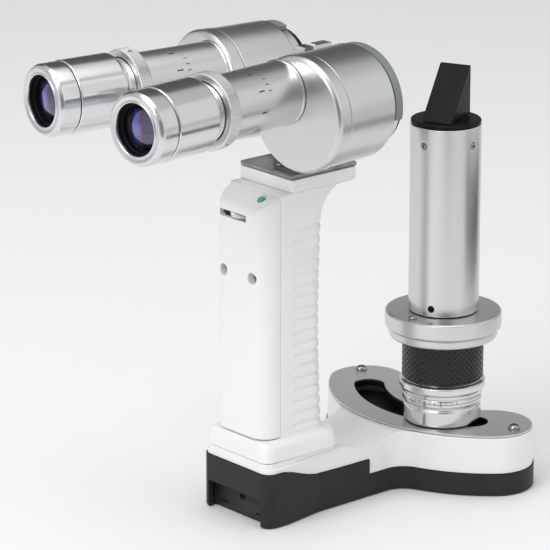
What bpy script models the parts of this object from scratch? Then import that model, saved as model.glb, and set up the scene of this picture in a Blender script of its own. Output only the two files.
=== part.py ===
"""Hand-held slit lamp: a binocular microscope on a battery grip, with a lamp column on a crescent base.

Frame: +X is the operator's right, +Y points from the operator to the patient, +Z is up.
Z = 0 is the underside of the tray, and X = 0 is the plane of symmetry of the grip and the base.
Lengths in the constants and in the calls below are millimetres; the helpers turn them into metres.
"""

import math

import bmesh
import bpy
from mathutils import Matrix, Vector

MM = 0.001
GAP = 0.3

# Base: a rear block under the grip, a waist, and a crescent round the patient's eye point.
EYE_Y = 126.0
ARC_MID = 59.5
ARC_END = 50.0
TRAY_HALF = 20.0
TRAY_REAR = -38.5
BLOCK_HALF = 24.5
WAIST_HALF = 21.3
WAIST_FILLET = 12.0
TRAY_WALL = 2.2
TRAY_HIGH = 26.5
TRAY_MIDDLE = 18.7
TRAY_LOW = 11.0
STEP_Y = 29.0
DOCK_HALF = 19.0
DOCK_DEPTH = 5.0
DOCK_HEIGHT = 13.6
SHELL_TOP = 29.0
PLATE_HALF = 18.8
PLATE_TOP = 30.5
PLATE_THICK = 1.2
SLOT_MID = 58.0
SLOT_HALF = 7.6
SLOT_END = 40.0
PLATE_SCREWS = {"right": (67.8, 58.0), "left": (65.2, -60.5)}

# Grip: foot, ribbed grip and head in one moulding, with a cover over the battery at the back.
FOOT_BOTTOM = 31.8
GRIP_HALF = 18.3
GRIP_REAR = -25.2
GRIP_FRONT = 4.4
GRIP_TOP = 159.5
HEAD_REAR = -18.6
HEAD_FRONT = 22.0
HEAD_TOP = 166.0
NECK_LOW = 204.0
RIBS = 18
RIB_PITCH = 5.65
RIB_FIRST = 46.0
RIB_DEPTH = 0.8
COVER_REAR = -36.2
COVER_BOTTOM = 41.8
COVER_HOLE_X = 10.2
COVER_HOLE_Z = 120.3
WHEEL_AT = (-1.0, -27.4, 148.1)
WHEEL_R = 9.0
LED_AT = (8.8, -28.3)
PLATE_LOW = 166.3
PLATE_HIGH = 168.4

# Binoculars: two drums on a bridge, each with an eccentric tube and a focusing eyepiece.
CONVERGENCE = 5.59
EYE_TUBE = (33.64, -122.1, 211.2)
DRUM_OUT = 8.8
DRUM_DOWN = 9.2
DRUM_R = 26.9
CAP_BACK = 93.2
HOUSING_BACK = 101.8
HOUSING_FRONT = 132.0
SPIGOT_R = 20.0
TUBE_R = 14.9
KNURL_R = 17.8

# Lamp: a carriage in the arc slot carries the column round the eye point.
SWING_R = 56.0
SWING_REST = 24.0
COLLAR_LOW = 30.9
COLLAR_TOP = 52.2
SLEEVE = (52.5, 72.6, 19.8)
SELECTOR = (73.0, 77.6, 26.3)
DISK = (77.9, 86.0, 28.2)
NECK_R = 16.0
LAMP_TUBE_R = 17.0
LAMP_TUBE = (86.3, 178.9)


def start_empty():
    """Clear the scene and make the two collections."""
    for old in list(bpy.data.objects):
        bpy.data.objects.remove(old, do_unlink=True)
    parts = bpy.data.collections.new("slit_lamp")
    helpers = bpy.data.collections.new("cutters")
    helpers.hide_render = True
    bpy.context.scene.collection.children.link(parts)
    bpy.context.scene.collection.children.link(helpers)
    return parts, helpers


PARTS, CUTTERS = start_empty()


def material(name, colour, metallic, roughness):
    made = bpy.data.materials.new(name)
    made.use_nodes = True
    shader = made.node_tree.nodes["Principled BSDF"]
    shader.inputs["Base Color"].default_value = (*colour, 1.0)
    shader.inputs["Metallic"].default_value = metallic
    shader.inputs["Roughness"].default_value = roughness
    return made


WHITE = material("white_plastic", (0.83, 0.83, 0.82), 0.0, 0.35)
CHARCOAL = material("charcoal_plastic", (0.03, 0.032, 0.035), 0.0, 0.5)
SATIN = material("satin_aluminium", (0.72, 0.73, 0.74), 1.0, 0.3)
CHROME = material("polished_chrome", (0.82, 0.83, 0.84), 1.0, 0.1)
BLACK = material("black_metal", (0.015, 0.015, 0.017), 0.6, 0.4)
STEEL = material("steel_plate", (0.45, 0.46, 0.47), 1.0, 0.35)
DARK_STEEL = material("dark_steel", (0.13, 0.13, 0.14), 1.0, 0.3)
GLASS = material("lens_glass", (0.5, 0.55, 0.75), 0.0, 0.03)
GREEN = material("green_lens", (0.02, 0.45, 0.12), 0.0, 0.2)
BOARD = material("board_green", (0.02, 0.2, 0.08), 0.0, 0.5)
CELL = material("cell_wrap", (0.1, 0.25, 0.55), 0.0, 0.4)
BRASS = material("contact_brass", (0.7, 0.5, 0.2), 1.0, 0.3)


def empty(name, location, rotation_z=0.0, parent=None):
    """An axis marker. Its own Z is the joint's axis."""
    made = bpy.data.objects.new(name, None)
    made.empty_display_size = 0.01
    PARTS.objects.link(made)
    made.parent = parent
    made.location = Vector(location) * MM
    made.rotation_euler = (0.0, 0.0, math.radians(rotation_z))
    return made


def place(name, mesh, colour, parent=None, at=(0.0, 0.0, 0.0), turn=None, helper=False):
    """Link a mesh as a part, or as a hidden cutter."""
    made = bpy.data.objects.new(name, mesh)
    (CUTTERS if helper else PARTS).objects.link(made)
    made.parent = parent
    base = Matrix.Translation(Vector(at) * MM)
    made.matrix_basis = base @ turn.to_4x4() if turn is not None else base
    if colour is not None:
        mesh.materials.append(colour)
    if helper:
        made.hide_render = True
        made.display_type = "WIRE"
    return made


def turned(name, profile, colour, steps=24, ring=False, **where):
    """Revolve a profile of (radius, height) about the object's own Z, outer side from the top down."""
    mesh = bpy.data.meshes.new(name)
    points = [(radius * MM, 0.0, height * MM) for radius, height in profile]
    count = len(points)
    edges = [(i, i + 1) for i in range(count - 1)]
    if ring:
        edges.append((count - 1, 0))
    mesh.from_pydata(points, edges, [])
    made = place(name, mesh, colour, **where)
    screw = made.modifiers.new("turn", "SCREW")
    screw.axis = "Z"
    screw.steps = steps
    screw.render_steps = steps
    screw.use_merge_vertices = True
    screw.merge_threshold = 0.00001
    screw.use_normal_calculate = False
    return made


def loft(name, rings, colour, **where):
    """Skin closed outlines that all have the same number of points, and cap both ends."""
    mesh = bpy.data.meshes.new(name)
    shape = bmesh.new()
    layers = [[shape.verts.new(Vector(p) * MM) for p in ring] for ring in rings]
    for low, high in zip(layers, layers[1:]):
        for i, corner in enumerate(low):
            j = (i + 1) % len(low)
            shape.faces.new((corner, low[j], high[j], high[i]))
    shape.faces.new(list(reversed(layers[0])))
    shape.faces.new(layers[-1])
    shape.normal_update()
    shape.to_mesh(mesh)
    shape.free()
    return place(name, mesh, colour, **where)


def prism(name, outline, low, high, colour, **where):
    """Extrude an outline of (x, y) points, counter-clockwise, from low to high."""
    return loft(name, [[(x, y, z) for x, y in outline] for z in (low, high)], colour, **where)


def side_prism(name, outline, half, colour, **where):
    """Extrude an outline of (y, z) points, counter-clockwise seen from +X, across -half..half in X."""
    return loft(name, [[(x, y, z) for y, z in outline] for x in (-half, half)], colour, **where)


def box(name, low, high, colour, bevel=0.0, **where):
    """A box between two corners, its scale kept at 1."""
    mesh = bpy.data.meshes.new(name)
    shape = bmesh.new()
    bmesh.ops.create_cube(shape, size=1.0)
    size = [(b - a) * MM for a, b in zip(low, high)]
    middle = Vector([(a + b) / 2 * MM for a, b in zip(low, high)])
    bmesh.ops.scale(shape, vec=size, verts=shape.verts)
    bmesh.ops.translate(shape, vec=middle, verts=shape.verts)
    shape.to_mesh(mesh)
    shape.free()
    made = place(name, mesh, colour, **where)
    if bevel:
        round_off(made, bevel)
    return made


def rod(name, radius, low, high, colour, sides=24, **where):
    """A cylinder along the object's own Z."""
    mesh = bpy.data.meshes.new(name)
    shape = bmesh.new()
    bmesh.ops.create_cone(shape, cap_ends=True, segments=sides, radius1=radius * MM,
                          radius2=radius * MM, depth=(high - low) * MM)
    bmesh.ops.translate(shape, vec=(0.0, 0.0, (low + high) / 2 * MM), verts=shape.verts)
    shape.to_mesh(mesh)
    shape.free()
    return place(name, mesh, colour, **where)


def round_off(target, width, segments=1, angle=40.0):
    bevel = target.modifiers.new("edges", "BEVEL")
    bevel.width = width * MM
    bevel.segments = segments
    bevel.limit_method = "ANGLE"
    bevel.angle_limit = math.radians(angle)


def combine(target, tool, operation):
    step = target.modifiers.new(tool.name, "BOOLEAN")
    step.operation = operation
    step.solver = "EXACT"
    step.object = tool


def cut(target, tool):
    combine(target, tool, "DIFFERENCE")


def join(target, tool):
    combine(target, tool, "UNION")


FACING_BACK = Matrix.Rotation(math.radians(90.0), 3, "X")
FACING_FRONT = Matrix.Rotation(math.radians(-90.0), 3, "X")


def arc(cx, cy, radius, first, last, steps):
    """Points on a circle. Angles are in degrees from -Y, positive towards +X."""
    found = []
    for i in range(steps + 1):
        angle = math.radians(first + (last - first) * i / steps)
        found.append((cx + radius * math.sin(angle), cy - radius * math.cos(angle)))
    return found


def crescent(mid, half, end, steps=12, nose=6):
    """A round-ended band about the eye point, counter-clockwise."""
    outer = arc(0.0, EYE_Y, mid + half, -end, end, steps)
    right = arc(*arc(0.0, EYE_Y, mid, end, end, 1)[0], half, end, end + 180.0, nose)
    inner = arc(0.0, EYE_Y, mid - half, end, -end, steps)
    left = arc(*arc(0.0, EYE_Y, mid, -end, -end, 1)[0], half, -end - 180.0, -end, nose)
    return outer + right[1:-1] + inner + left[1:-1]


def base_outline(inset, rear=None):
    """The base in plan, inset by a wall: rear block, waist, fillet and crescent."""
    rear = TRAY_REAR + inset if rear is None else rear
    block = BLOCK_HALF - inset
    waist = WAIST_HALF - inset
    corner = max(6.0 - inset, 1.5)
    fillet = WAIST_FILLET + inset
    half = TRAY_HALF - inset
    reach = ARC_MID + half
    centre_x = waist + fillet
    centre_y = EYE_Y - math.sqrt((reach + fillet) ** 2 - centre_x ** 2)
    tangent = math.degrees(math.atan2(centre_x, EYE_Y - centre_y))
    side = arc(block - corner, rear + corner, corner, 0.0, 90.0, 4)
    side += [(block, -25.0), (waist, -3.0)]
    side += arc(centre_x, centre_y, fillet, -90.0, -180.0 + tangent, 4)
    side += arc(0.0, EYE_Y, reach, tangent, ARC_END, 8)[1:]
    nose = arc(0.0, EYE_Y, ARC_MID, ARC_END, ARC_END, 1)[0]
    side += arc(*nose, half, ARC_END, ARC_END + 180.0, 8)[1:]
    side += arc(0.0, EYE_Y, ARC_MID - half, ARC_END, 0.0, 8)[1:]
    return side + [(-x, y) for x, y in reversed(side[:-1])]


def level(outline, height):
    return [(x, y, height) for x, y in outline]


def split_line(rise):
    """Side profile of the joint between tray and shell, as an outline that covers all above it."""
    return [
        (-60.0, TRAY_HIGH + rise),
        (-28.0, TRAY_HIGH + rise),
        (-16.0, 22.6 + rise),
        (-5.0, 19.2 + rise),
        (STEP_Y + rise, TRAY_MIDDLE + rise),
        (STEP_Y + rise, TRAY_LOW + rise),
        (150.0, TRAY_LOW + rise),
        (150.0, 70.0),
        (-60.0, 70.0),
    ]


def on_arc(radius, angle):
    return arc(0.0, EYE_Y, radius, angle, angle, 1)[0]


def pan_screw(name, head_r, head_h, shank_r, length, colour, **where):
    """A slotted round-head screw: head above the object's origin, shank below it."""
    made = turned(name, [
        (0.0, head_h), (head_r * 0.6, head_h * 0.9), (head_r * 0.92, head_h * 0.5), (head_r, 0.0),
        (shank_r, 0.0), (shank_r, -length), (0.0, -length),
    ], colour, steps=10, **where)
    slot = box(name + "_slot", (-head_r * 2, -head_r * 0.14, head_h * 0.5),
               (head_r * 2, head_r * 0.14, head_h * 2), None, helper=True, **where)
    cut(made, slot)
    return made


def make_tray():
    tray = loft("bottom_tray", [
        level(base_outline(0.8), 0.0), level(base_outline(0.0), 0.8), level(base_outline(0.0), 28.0),
    ], CHARCOAL)
    cut(tray, side_prism("tray_top_cut", split_line(0.0), 120.0, None, helper=True))
    inside = loft("tray_pocket", [
        level(base_outline(TRAY_WALL, rear=-30.0), TRAY_WALL),
        level(base_outline(TRAY_WALL, rear=-30.0), 50.0),
    ], None, helper=True)
    cut(tray, inside)
    floor_y = TRAY_REAR + DOCK_DEPTH
    cut(tray, box("dock_recess", (-DOCK_HALF, -60.0, -5.0), (DOCK_HALF, floor_y, DOCK_HEIGHT),
                  None, helper=True))
    cut(tray, box("dock_rails", (-DOCK_HALF - 1.6, floor_y - 2.2, -5.0),
                  (DOCK_HALF + 1.6, floor_y - 0.6, DOCK_HEIGHT - 2.0), None, helper=True))
    cut(tray, rod("jack_hole", 2.0, -10.0, 10.0, None, sides=20, helper=True,
                  at=(0.0, -33.0, 9.6), turn=FACING_BACK))


def make_shell():
    shell = loft("base_shell", [
        level(base_outline(0.6), 8.0), level(base_outline(0.8), 28.4),
        level(base_outline(1.1), SHELL_TOP),
    ], WHITE)
    block = [
        *arc(17.3, -32.2, 5.2, 0.0, 90.0, 3), (22.5, -25.0), (20.0, -3.0), (20.0, 6.0), (18.0, 8.5),
    ]
    block += [(-x, y) for x, y in reversed(block)]
    join(shell, prism("shell_block", block, 22.0, FOOT_BOTTOM - GAP, None, helper=True))
    cut(shell, side_prism("shell_base_cut", [
        (-60.0, -10.0), (150.0, -10.0), *reversed(split_line(GAP)[:7]),
    ], 120.0, None, helper=True))
    cut(shell, rod("neck_saddle", 42.0, -60.0, 60.0, None, sides=72, helper=True,
                   at=(0.0, 29.0, 67.5), turn=Matrix.Rotation(math.radians(90.0), 3, "Y")))
    cut(shell, prism("shell_hollow", crescent(ARC_MID, 15.2, 49.0), -5.0, 26.6, None, helper=True))
    cut(shell, box("shell_block_hollow", (-18.4, -33.0, -5.0), (18.4, 4.0, 28.6), None, helper=True))
    cut(shell, box("shell_neck_hollow", (-15.0, 0.0, -5.0), (15.0, 56.0, 22.4), None, helper=True))
    cut(shell, prism("shell_slot", crescent(SLOT_MID, 7.4, 41.0), 20.0, 40.0, None, helper=True))
    cut(shell, rod("wire_hole", 4.0, 20.0, 40.0, None, sides=16, helper=True, at=(0.0, -12.0, 0.0)))
    for label, spot in PLATE_SCREWS.items():
        x, y = on_arc(*spot)
        join(shell, rod("plate_boss_" + label, 4.2, 14.0, 27.6, None, sides=16, helper=True,
                        at=(x, y, 0.0)))
        cut(shell, rod("plate_hole_" + label, 1.5, 20.0, 40.0, None, sides=12, helper=True,
                       at=(x, y, 0.0)))


def make_plate():
    low = PLATE_TOP - PLATE_THICK
    plate = loft("crescent_plate", [
        level(crescent(ARC_MID, PLATE_HALF, ARC_END), low),
        level(crescent(ARC_MID, PLATE_HALF, ARC_END), PLATE_TOP - 0.3),
        level(crescent(ARC_MID, PLATE_HALF - 0.3, ARC_END), PLATE_TOP),
    ], STEEL)
    cut(plate, prism("plate_slot", crescent(SLOT_MID, SLOT_HALF, SLOT_END), 20.0, 40.0, None,
                     helper=True))
    for label, spot in PLATE_SCREWS.items():
        x, y = on_arc(*spot)
        cut(plate, rod("plate_clear_" + label, 1.6, 20.0, 40.0, None, sides=12, helper=True,
                       at=(x, y, 0.0)))
        pan_screw("plate_screw_" + label, 3.0, 2.0, 1.2, 8.0, CHROME,
                  at=(x, y, PLATE_TOP + 0.1),
                  turn=Matrix.Rotation(math.radians(math.copysign(35.0, x)), 3, "Z"))


def grip_section(height, half, rear, front, rear_r, front_r, groove=0.0):
    """One level of the grip: the ribbed stretch lies forward of y = -17."""
    side = arc(half - rear_r, rear + rear_r, rear_r, 0.0, 90.0, 1)
    side += [(half, -17.2), (half - groove, -16.5)]
    reach = half - groove
    tip = front - groove
    side += arc(reach - front_r, tip - front_r, front_r, 90.0, 180.0, 3)
    return [(x, y, height) for x, y in side + [(-x, y) for x, y in reversed(side)]]


def grip_front(height):
    """Y of the grip's front: slightly waisted, then sweeping out under the head."""
    front = 3.2 + 1.4 * ((height - 95.0) / 50.0) ** 2
    if height > 146.0:
        sweep = min((height - 146.0) / 14.0, 1.0)
        start = 3.2 + 1.4 * ((146.0 - 95.0) / 50.0) ** 2
        front = start + (HEAD_FRONT - 7.5 - start) * (1.0 - math.sqrt(1.0 - sweep ** 2))
    return front


def make_grip():
    rings = [
        grip_section(FOOT_BOTTOM, 22.6, -37.6, 9.4, 5.0, 6.0),
        grip_section(37.4, 22.2, -37.3, 9.0, 5.0, 6.5),
        grip_section(39.6, 21.3, -36.9, 8.2, 5.0, 7.0),
        grip_section(41.0, 19.3, -36.6, 6.6, 5.0, 8.0),
        grip_section(41.5, GRIP_HALF, GRIP_REAR, 6.2, 0.4, 9.0),
    ]
    for rib in range(RIBS):
        height = RIB_FIRST + rib * RIB_PITCH
        rings.append(grip_section(height - RIB_PITCH / 2, GRIP_HALF, GRIP_REAR,
                                  grip_front(height - RIB_PITCH / 2), 0.4, 9.0))
        rings.append(grip_section(height, GRIP_HALF, GRIP_REAR, grip_front(height), 0.4, 9.0,
                                  RIB_DEPTH))
    last = RIB_FIRST + (RIBS - 0.5) * RIB_PITCH
    rings.append(grip_section(last, GRIP_HALF, GRIP_REAR, grip_front(last), 0.4, 9.0))
    for height in (150.0, 153.0, 155.5, 157.5, 159.0, GRIP_TOP):
        corner = 9.0 - 7.0 * (height - last) / (GRIP_TOP - last)
        rings.append(grip_section(height, GRIP_HALF, GRIP_REAR, grip_front(height), 0.4, corner))
    rings.append(grip_section(160.0, GRIP_HALF + 0.2, HEAD_REAR, HEAD_FRONT - 0.4, 1.0, 2.0))
    rings.append(grip_section(160.8, GRIP_HALF + 0.4, HEAD_REAR - 0.4, HEAD_FRONT, 1.0, 2.0))
    rings.append(grip_section(HEAD_TOP, GRIP_HALF + 0.4, HEAD_REAR - 0.4, HEAD_FRONT, 1.0, 2.0))
    grip = loft("grip_body", rings, WHITE)
    bay = [(15.5, -30.0), (15.5, -6.5), (9.0, 0.4), (-9.0, 0.4), (-15.5, -6.5), (-15.5, -30.0)]
    cut(grip, prism("battery_bay", bay, 46.0, 155.0, None, helper=True))
    cut(grip, box("foot_hollow", (-16.0, -32.5, 20.0), (16.0, 2.0, 38.0), None, helper=True))
    cut(grip, rod("wire_passage", 3.0, 30.0, 60.0, None, sides=16, helper=True,
                  at=(11.0, -20.5, 0.0)))
    cut(grip, rod("led_window", 2.9, 100.0, 154.9, None, sides=12, helper=True,
                  at=(LED_AT[0], LED_AT[1], 0.0)))
    for side, label in ((1.0, "right"), (-1.0, "left")):
        x = side * COVER_HOLE_X
        join(grip, rod("cover_post_" + label, 3.4, -2.0, 24.8, None, sides=16, helper=True,
                       at=(x, 0.0, COVER_HOLE_Z), turn=FACING_BACK))
        cut(grip, rod("cover_thread_" + label, 1.4, 12.0, 40.0, None, sides=12, helper=True,
                      at=(x, 0.0, COVER_HOLE_Z), turn=FACING_BACK))
        cut(grip, rod("head_spot_" + label, 2.8, 150.0, 160.2, None, sides=16, helper=True,
                      at=(side * 12.0, 17.6, 0.0)))
        cut(grip, rod("head_clear_" + label, 1.6, 150.0, 180.0, None, sides=12, helper=True,
                      at=(side * 12.0, 17.6, 0.0)))
    cut(grip, rod("head_plate_thread", 1.2, 158.0, 180.0, None, sides=12, helper=True,
                  at=(0.0, -10.0, 0.0)))


def cover_outline(half, rear, corner, front):
    side = arc(half - corner, rear + corner, corner, 0.0, 90.0, 6)
    side.append((half, front))
    return side + [(-x, y) for x, y in reversed(side)]


def make_cover():
    slope = 0.6355
    cover = prism("rear_cover", cover_outline(GRIP_HALF, COVER_REAR, 9.0, GRIP_REAR - GAP),
                  COVER_BOTTOM, 170.0, WHITE)
    join_y = GRIP_REAR - GAP
    cut(cover, side_prism("cover_slope", [
        (-60.0, 159.0 + slope * (-60.0 - join_y)), (0.0, 159.0 - slope * join_y),
        (0.0, 200.0), (-60.0, 200.0),
    ], 40.0, None, helper=True))
    cut(cover, prism("cover_hollow", cover_outline(16.1, -34.0, 7.2, -10.0), 44.0, 150.2, None,
                     helper=True))
    for side, label in ((1.0, "right"), (-1.0, "left")):
        x = side * COVER_HOLE_X
        join(cover, rod("cover_boss_" + label, 3.8, 25.7, 34.3, None, sides=16, helper=True,
                        at=(x, 0.0, COVER_HOLE_Z), turn=FACING_BACK))
        cut(cover, rod("cover_bore_" + label, 1.5, 20.0, 50.0, None, sides=12, helper=True,
                       at=(x, 0.0, COVER_HOLE_Z), turn=FACING_BACK))
        cut(cover, rod("cover_sink_" + label, 2.8, 32.0, 50.0, None, sides=16, helper=True,
                       at=(x, 0.0, COVER_HOLE_Z), turn=FACING_BACK))
        pan_screw("cover_screw_" + label, 2.4, 1.2, 1.1, 13.0, STEEL,
                  at=(x, -32.2, COVER_HOLE_Z), turn=FACING_BACK)
    cut(cover, box("wheel_slot", (-13.5, -50.0, 146.4), (6.5, -30.0, 149.8), None, helper=True))
    cut(cover, rod("led_hole", 2.3, 140.0, 180.0, None, sides=20, helper=True,
                   at=(LED_AT[0], LED_AT[1], 0.0)))


def make_grip_contents():
    turned("brightness_wheel", [
        (WHEEL_R - 0.3, 1.2), (WHEEL_R, 0.9), (WHEEL_R, -0.9), (WHEEL_R - 0.3, -1.2),
        (1.9, -1.2), (1.9, 1.2),
    ], STEEL, steps=24, ring=True, at=WHEEL_AT)
    board = box("circuit_board", (-13.0, -30.6, 141.8), (13.0, -4.8, 143.4), BOARD)
    join(board, rod("dimmer_body", 4.2, 143.0, 146.2, None, sides=16, helper=True,
                    at=(WHEEL_AT[0], WHEEL_AT[1], 0.0)))
    join(board, rod("dimmer_shaft", 1.6, 146.0, 150.0, None, sides=16, helper=True,
                    at=(WHEEL_AT[0], WHEEL_AT[1], 0.0)))
    turned("indicator_led", [
        (0.0, 158.0), (1.1, 157.8), (1.8, 157.2), (2.0, 156.4), (2.0, 151.2), (0.0, 151.2),
    ], GREEN, steps=16, at=(LED_AT[0], LED_AT[1], 0.0))
    turned("battery_cell", [
        (0.0, 113.2), (2.6, 113.2), (2.8, 112.4), (8.4, 112.0), (9.1, 111.3), (9.1, 50.6),
        (8.6, 50.0), (0.0, 50.0),
    ], CELL, steps=24, at=(0.0, -14.0, 0.0))
    contact = box("battery_contact", (-9.0, -21.0, 46.3), (9.0, -7.0, 47.0), BRASS)
    join(contact, rod("contact_dome", 4.0, 46.8, 49.6, None, sides=16, helper=True,
                      at=(0.0, -14.0, 0.0)))
    turned("charging_jack", [
        (1.7, 1.0), (1.7, -6.0), (3.2, -6.0), (3.2, -9.0), (0.5, -9.0), (0.5, -1.0), (0.9, -1.0), (0.9, 1.0),
    ], BRASS, steps=16, ring=True, at=(0.0, -33.0, 9.6), turn=FACING_BACK)


def drum_frame(side):
    """The drum's axis, with Z forward along it, for the right (1) or the left (-1)."""
    label = "right" if side > 0 else "left"
    turn = math.radians(CONVERGENCE * side)
    pivot = bpy.data.objects.new("drum_axis_" + label, None)
    PARTS.objects.link(pivot)
    along = Vector((-math.sin(turn), math.cos(turn), 0.0))
    across = Vector((math.cos(turn), math.sin(turn), 0.0))
    down = Vector((0.0, 0.0, -1.0))
    origin = Vector((side * (EYE_TUBE[0] + DRUM_OUT), EYE_TUBE[1], EYE_TUBE[2] - DRUM_DOWN))
    pivot.matrix_world = Matrix.LocRotScale(
        origin * MM, Matrix((across, down, along)).transposed(), None)
    pivot.empty_display_size = 0.01
    return pivot, label


def make_drum(side):
    pivot, label = drum_frame(side)
    tube_at = (-side * DRUM_OUT, -DRUM_DOWN, 0.0)
    turned("drum_housing_" + label, [
        (SPIGOT_R, 138.6), (SPIGOT_R, HOUSING_FRONT), (26.2, HOUSING_FRONT), (DRUM_R, 131.2),
        (DRUM_R, HOUSING_BACK), (24.7, HOUSING_BACK), (24.7, 129.6), (15.0, 129.6), (15.0, 138.6),
    ], SATIN, steps=28, ring=True, parent=pivot)
    cap = turned("drum_cap_" + label, [
        (0.0, 95.8), (24.3, 95.8), (24.3, 101.5), (27.1, 101.5), (27.3, 101.0), (27.3, 95.6),
        (26.0, CAP_BACK), (0.0, CAP_BACK),
    ], SATIN, steps=28, parent=pivot)
    cut(cap, rod("cap_window_" + label, 12.6, 80.0, 100.0, None, sides=32, helper=True,
                 parent=pivot, at=tube_at))
    prism("porro_prism_" + label, [(-15.0, -14.5), (12.0, -14.5), (-1.5, 14.0)], 103.5, 125.5,
          GLASS, parent=pivot)
    turned("objective_lens_" + label, [
        (0.0, 137.6), (7.0, 137.1), (14.6, 135.4), (14.6, 133.6), (7.0, 132.4), (0.0, 132.0),
    ], GLASS, steps=16, parent=pivot)
    turned("objective_cell_" + label, [
        (20.6, 141.4), (22.6, 140.4), (22.6, 139.0), (14.2, 139.0), (14.2, 140.4), (15.6, 141.4),
    ], BLACK, steps=24, ring=True, parent=pivot)
    turned("eyepiece_tube_" + label, [
        (15.4, 92.9), (15.4, 92.2), (TUBE_R, 91.6), (TUBE_R, 49.9), (14.0, 49.9), (14.0, 48.6),
        (13.2, 48.6), (13.2, 92.9),
    ], SATIN, steps=24, ring=True, parent=pivot, at=tube_at)
    turned("diopter_ring_" + label, [
        (KNURL_R - 0.4, 49.6), (KNURL_R, 49.2), (KNURL_R, 43.2), (KNURL_R - 0.4, 42.8),
        (14.4, 42.8), (14.4, 49.6),
    ], SATIN, steps=24, ring=True, parent=pivot, at=tube_at)
    turned("eyepiece_barrel_" + label, [
        (12.9, 58.0), (12.9, 45.6), (14.0, 45.6), (14.0, 37.4), (16.4, 36.9), (17.2, 36.1),
        (17.2, 11.9), (16.7, 11.4), (11.6, 11.4), (11.6, 58.0),
    ], CHROME, steps=24, ring=True, parent=pivot, at=tube_at)
    turned("eyepiece_cap_" + label, [
        (16.4, 11.1), (16.9, 10.6), (16.9, 1.2), (16.3, 0.2), (15.6, 0.0), (12.2, 0.0),
        (11.8, 0.6), (11.8, 11.1),
    ], CHROME, steps=24, ring=True, parent=pivot, at=tube_at)
    turned("eye_lens_" + label, [
        (0.0, 7.4), (6.0, 7.1), (11.5, 6.0), (11.5, 4.4), (6.0, 3.2), (0.0, 2.8),
    ], GLASS, steps=16, parent=pivot, at=tube_at)


def drum_cutter(name, side, radius, low, high, sides=28):
    pivot = bpy.data.objects["drum_axis_right" if side > 0 else "drum_axis_left"]
    return rod(name, radius, low, high, None, sides=sides, helper=True, parent=pivot)


def make_bridge():
    low = PLATE_HIGH + GAP
    rear = box("rear_bracket", (-13.5, -2.5, low), (13.5, 8.0, NECK_LOW), DARK_STEEL)
    spacer = box("bracket_spacer", (-16.5, 8.3, low), (16.5, 9.3, NECK_LOW), WHITE)
    bridge = box("front_bridge", (-12.0, 9.6, low + 2.0), (12.0, 19.6, NECK_LOW), SATIN)
    for target, half, back, front, top in (
            (rear, 3.0, 2.7, 8.0, 222.9), (spacer, 3.4, 8.3, 9.3, 223.4),
            (bridge, 3.0, 9.6, 19.6, 222.9)):
        join(target, box(target.name + "_neck", (-half, back, NECK_LOW - 1.0), (half, front, top),
                         None, helper=True))
    join(bridge, box("bridge_foot", (-17.5, 9.9, low), (17.5, 20.6, 183.0), None, helper=True))
    for side, label in ((1.0, "right"), (-1.0, "left")):
        for target, tag in ((rear, "rear_"), (spacer, "spacer_"), (bridge, "bridge_")):
            reach = 140.0 if target is rear else 132.4
            cut(target, drum_cutter("clear_" + tag + label, side, 27.6, 85.0, reach))
        cut(spacer, drum_cutter("spacer_bore_" + label, side, 26.8, 120.0, 139.0))
        cut(bridge, drum_cutter("cell_clear_" + label, side, 24.6, 137.6, 160.0))
    for side, label in ((1.0, "right"), (-1.0, "left")):
        pivot = bpy.data.objects["drum_axis_" + label]
        collar = turned("bridge_ring_" + label, [
            (22.8, 138.4), (23.8, 137.4), (23.8, 132.9), (20.3, 132.9), (20.3, 138.4),
        ], None, steps=28, ring=True, parent=pivot, helper=True)
        cut(bridge, drum_cutter("bridge_bore_" + label, side, 20.9, 120.0, 139.0))
        join(bridge, collar)
        first, last = (-15.0, 102.0) if side > 0.0 else (-102.0, 15.0)
        band = arc(0.0, 0.0, 26.4, first, last, 16) + arc(0.0, 0.0, 22.4, last, first, 16)
        join(bridge, prism("bridge_band_" + label, band, 132.4, 137.0, None, parent=pivot,
                           helper=True))
        hole = rod("bridge_thread_" + label, 1.5, 150.0, 176.0, None, sides=12, helper=True,
                   at=(side * 12.0, 17.6, 0.0))
        cut(bridge, hole)
        pan_screw("under_head_screw_" + label, 2.4, 1.6, 1.2, 12.5, DARK_STEEL,
                  at=(side * 12.0, 17.6, 159.9),
                  turn=Matrix.Rotation(math.radians(180.0), 3, "X"))
    plate = box("head_plate", (-18.3, -18.4, PLATE_LOW), (18.3, 21.7, PLATE_HIGH), DARK_STEEL,
                bevel=0.3)
    for side, label in ((1.0, "right"), (-1.0, "left")):
        cut(plate, rod("head_plate_clear_" + label, 1.6, 150.0, 180.0, None, sides=12, helper=True,
                       at=(side * 12.0, 17.6, 0.0)))
    cut(plate, rod("head_plate_hole", 1.3, 150.0, 180.0, None, sides=12, helper=True,
                   at=(0.0, -10.0, 0.0)))
    pan_screw("head_plate_screw", 1.9, 0.8, 0.95, 7.0, CHROME, at=(0.0, -10.0, PLATE_HIGH + 0.1),
              turn=Matrix.Rotation(math.radians(20.0), 3, "Z"))


def make_carriage(pivot):
    """The carriage is drawn about the eye point, with the lamp straight ahead of the operator."""
    def about_pivot(outline):
        return [(x, y - EYE_Y) for x, y in outline]

    carriage = prism("lamp_carriage", about_pivot(crescent(SLOT_MID, 11.0, 9.0, 6, 6)), 23.6, 26.2,
                     STEEL, parent=pivot)
    join(carriage, prism("carriage_neck", about_pivot(crescent(SLOT_MID, 6.0, 5.0, 6, 6)), 25.0,
                         30.6, None, helper=True, parent=pivot))
    cut(carriage, rod("carriage_wire_hole", 2.5, 0.0, 60.0, None, sides=16, helper=True,
                      parent=pivot, at=(0.0, -SWING_R, 0.0)))


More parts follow.
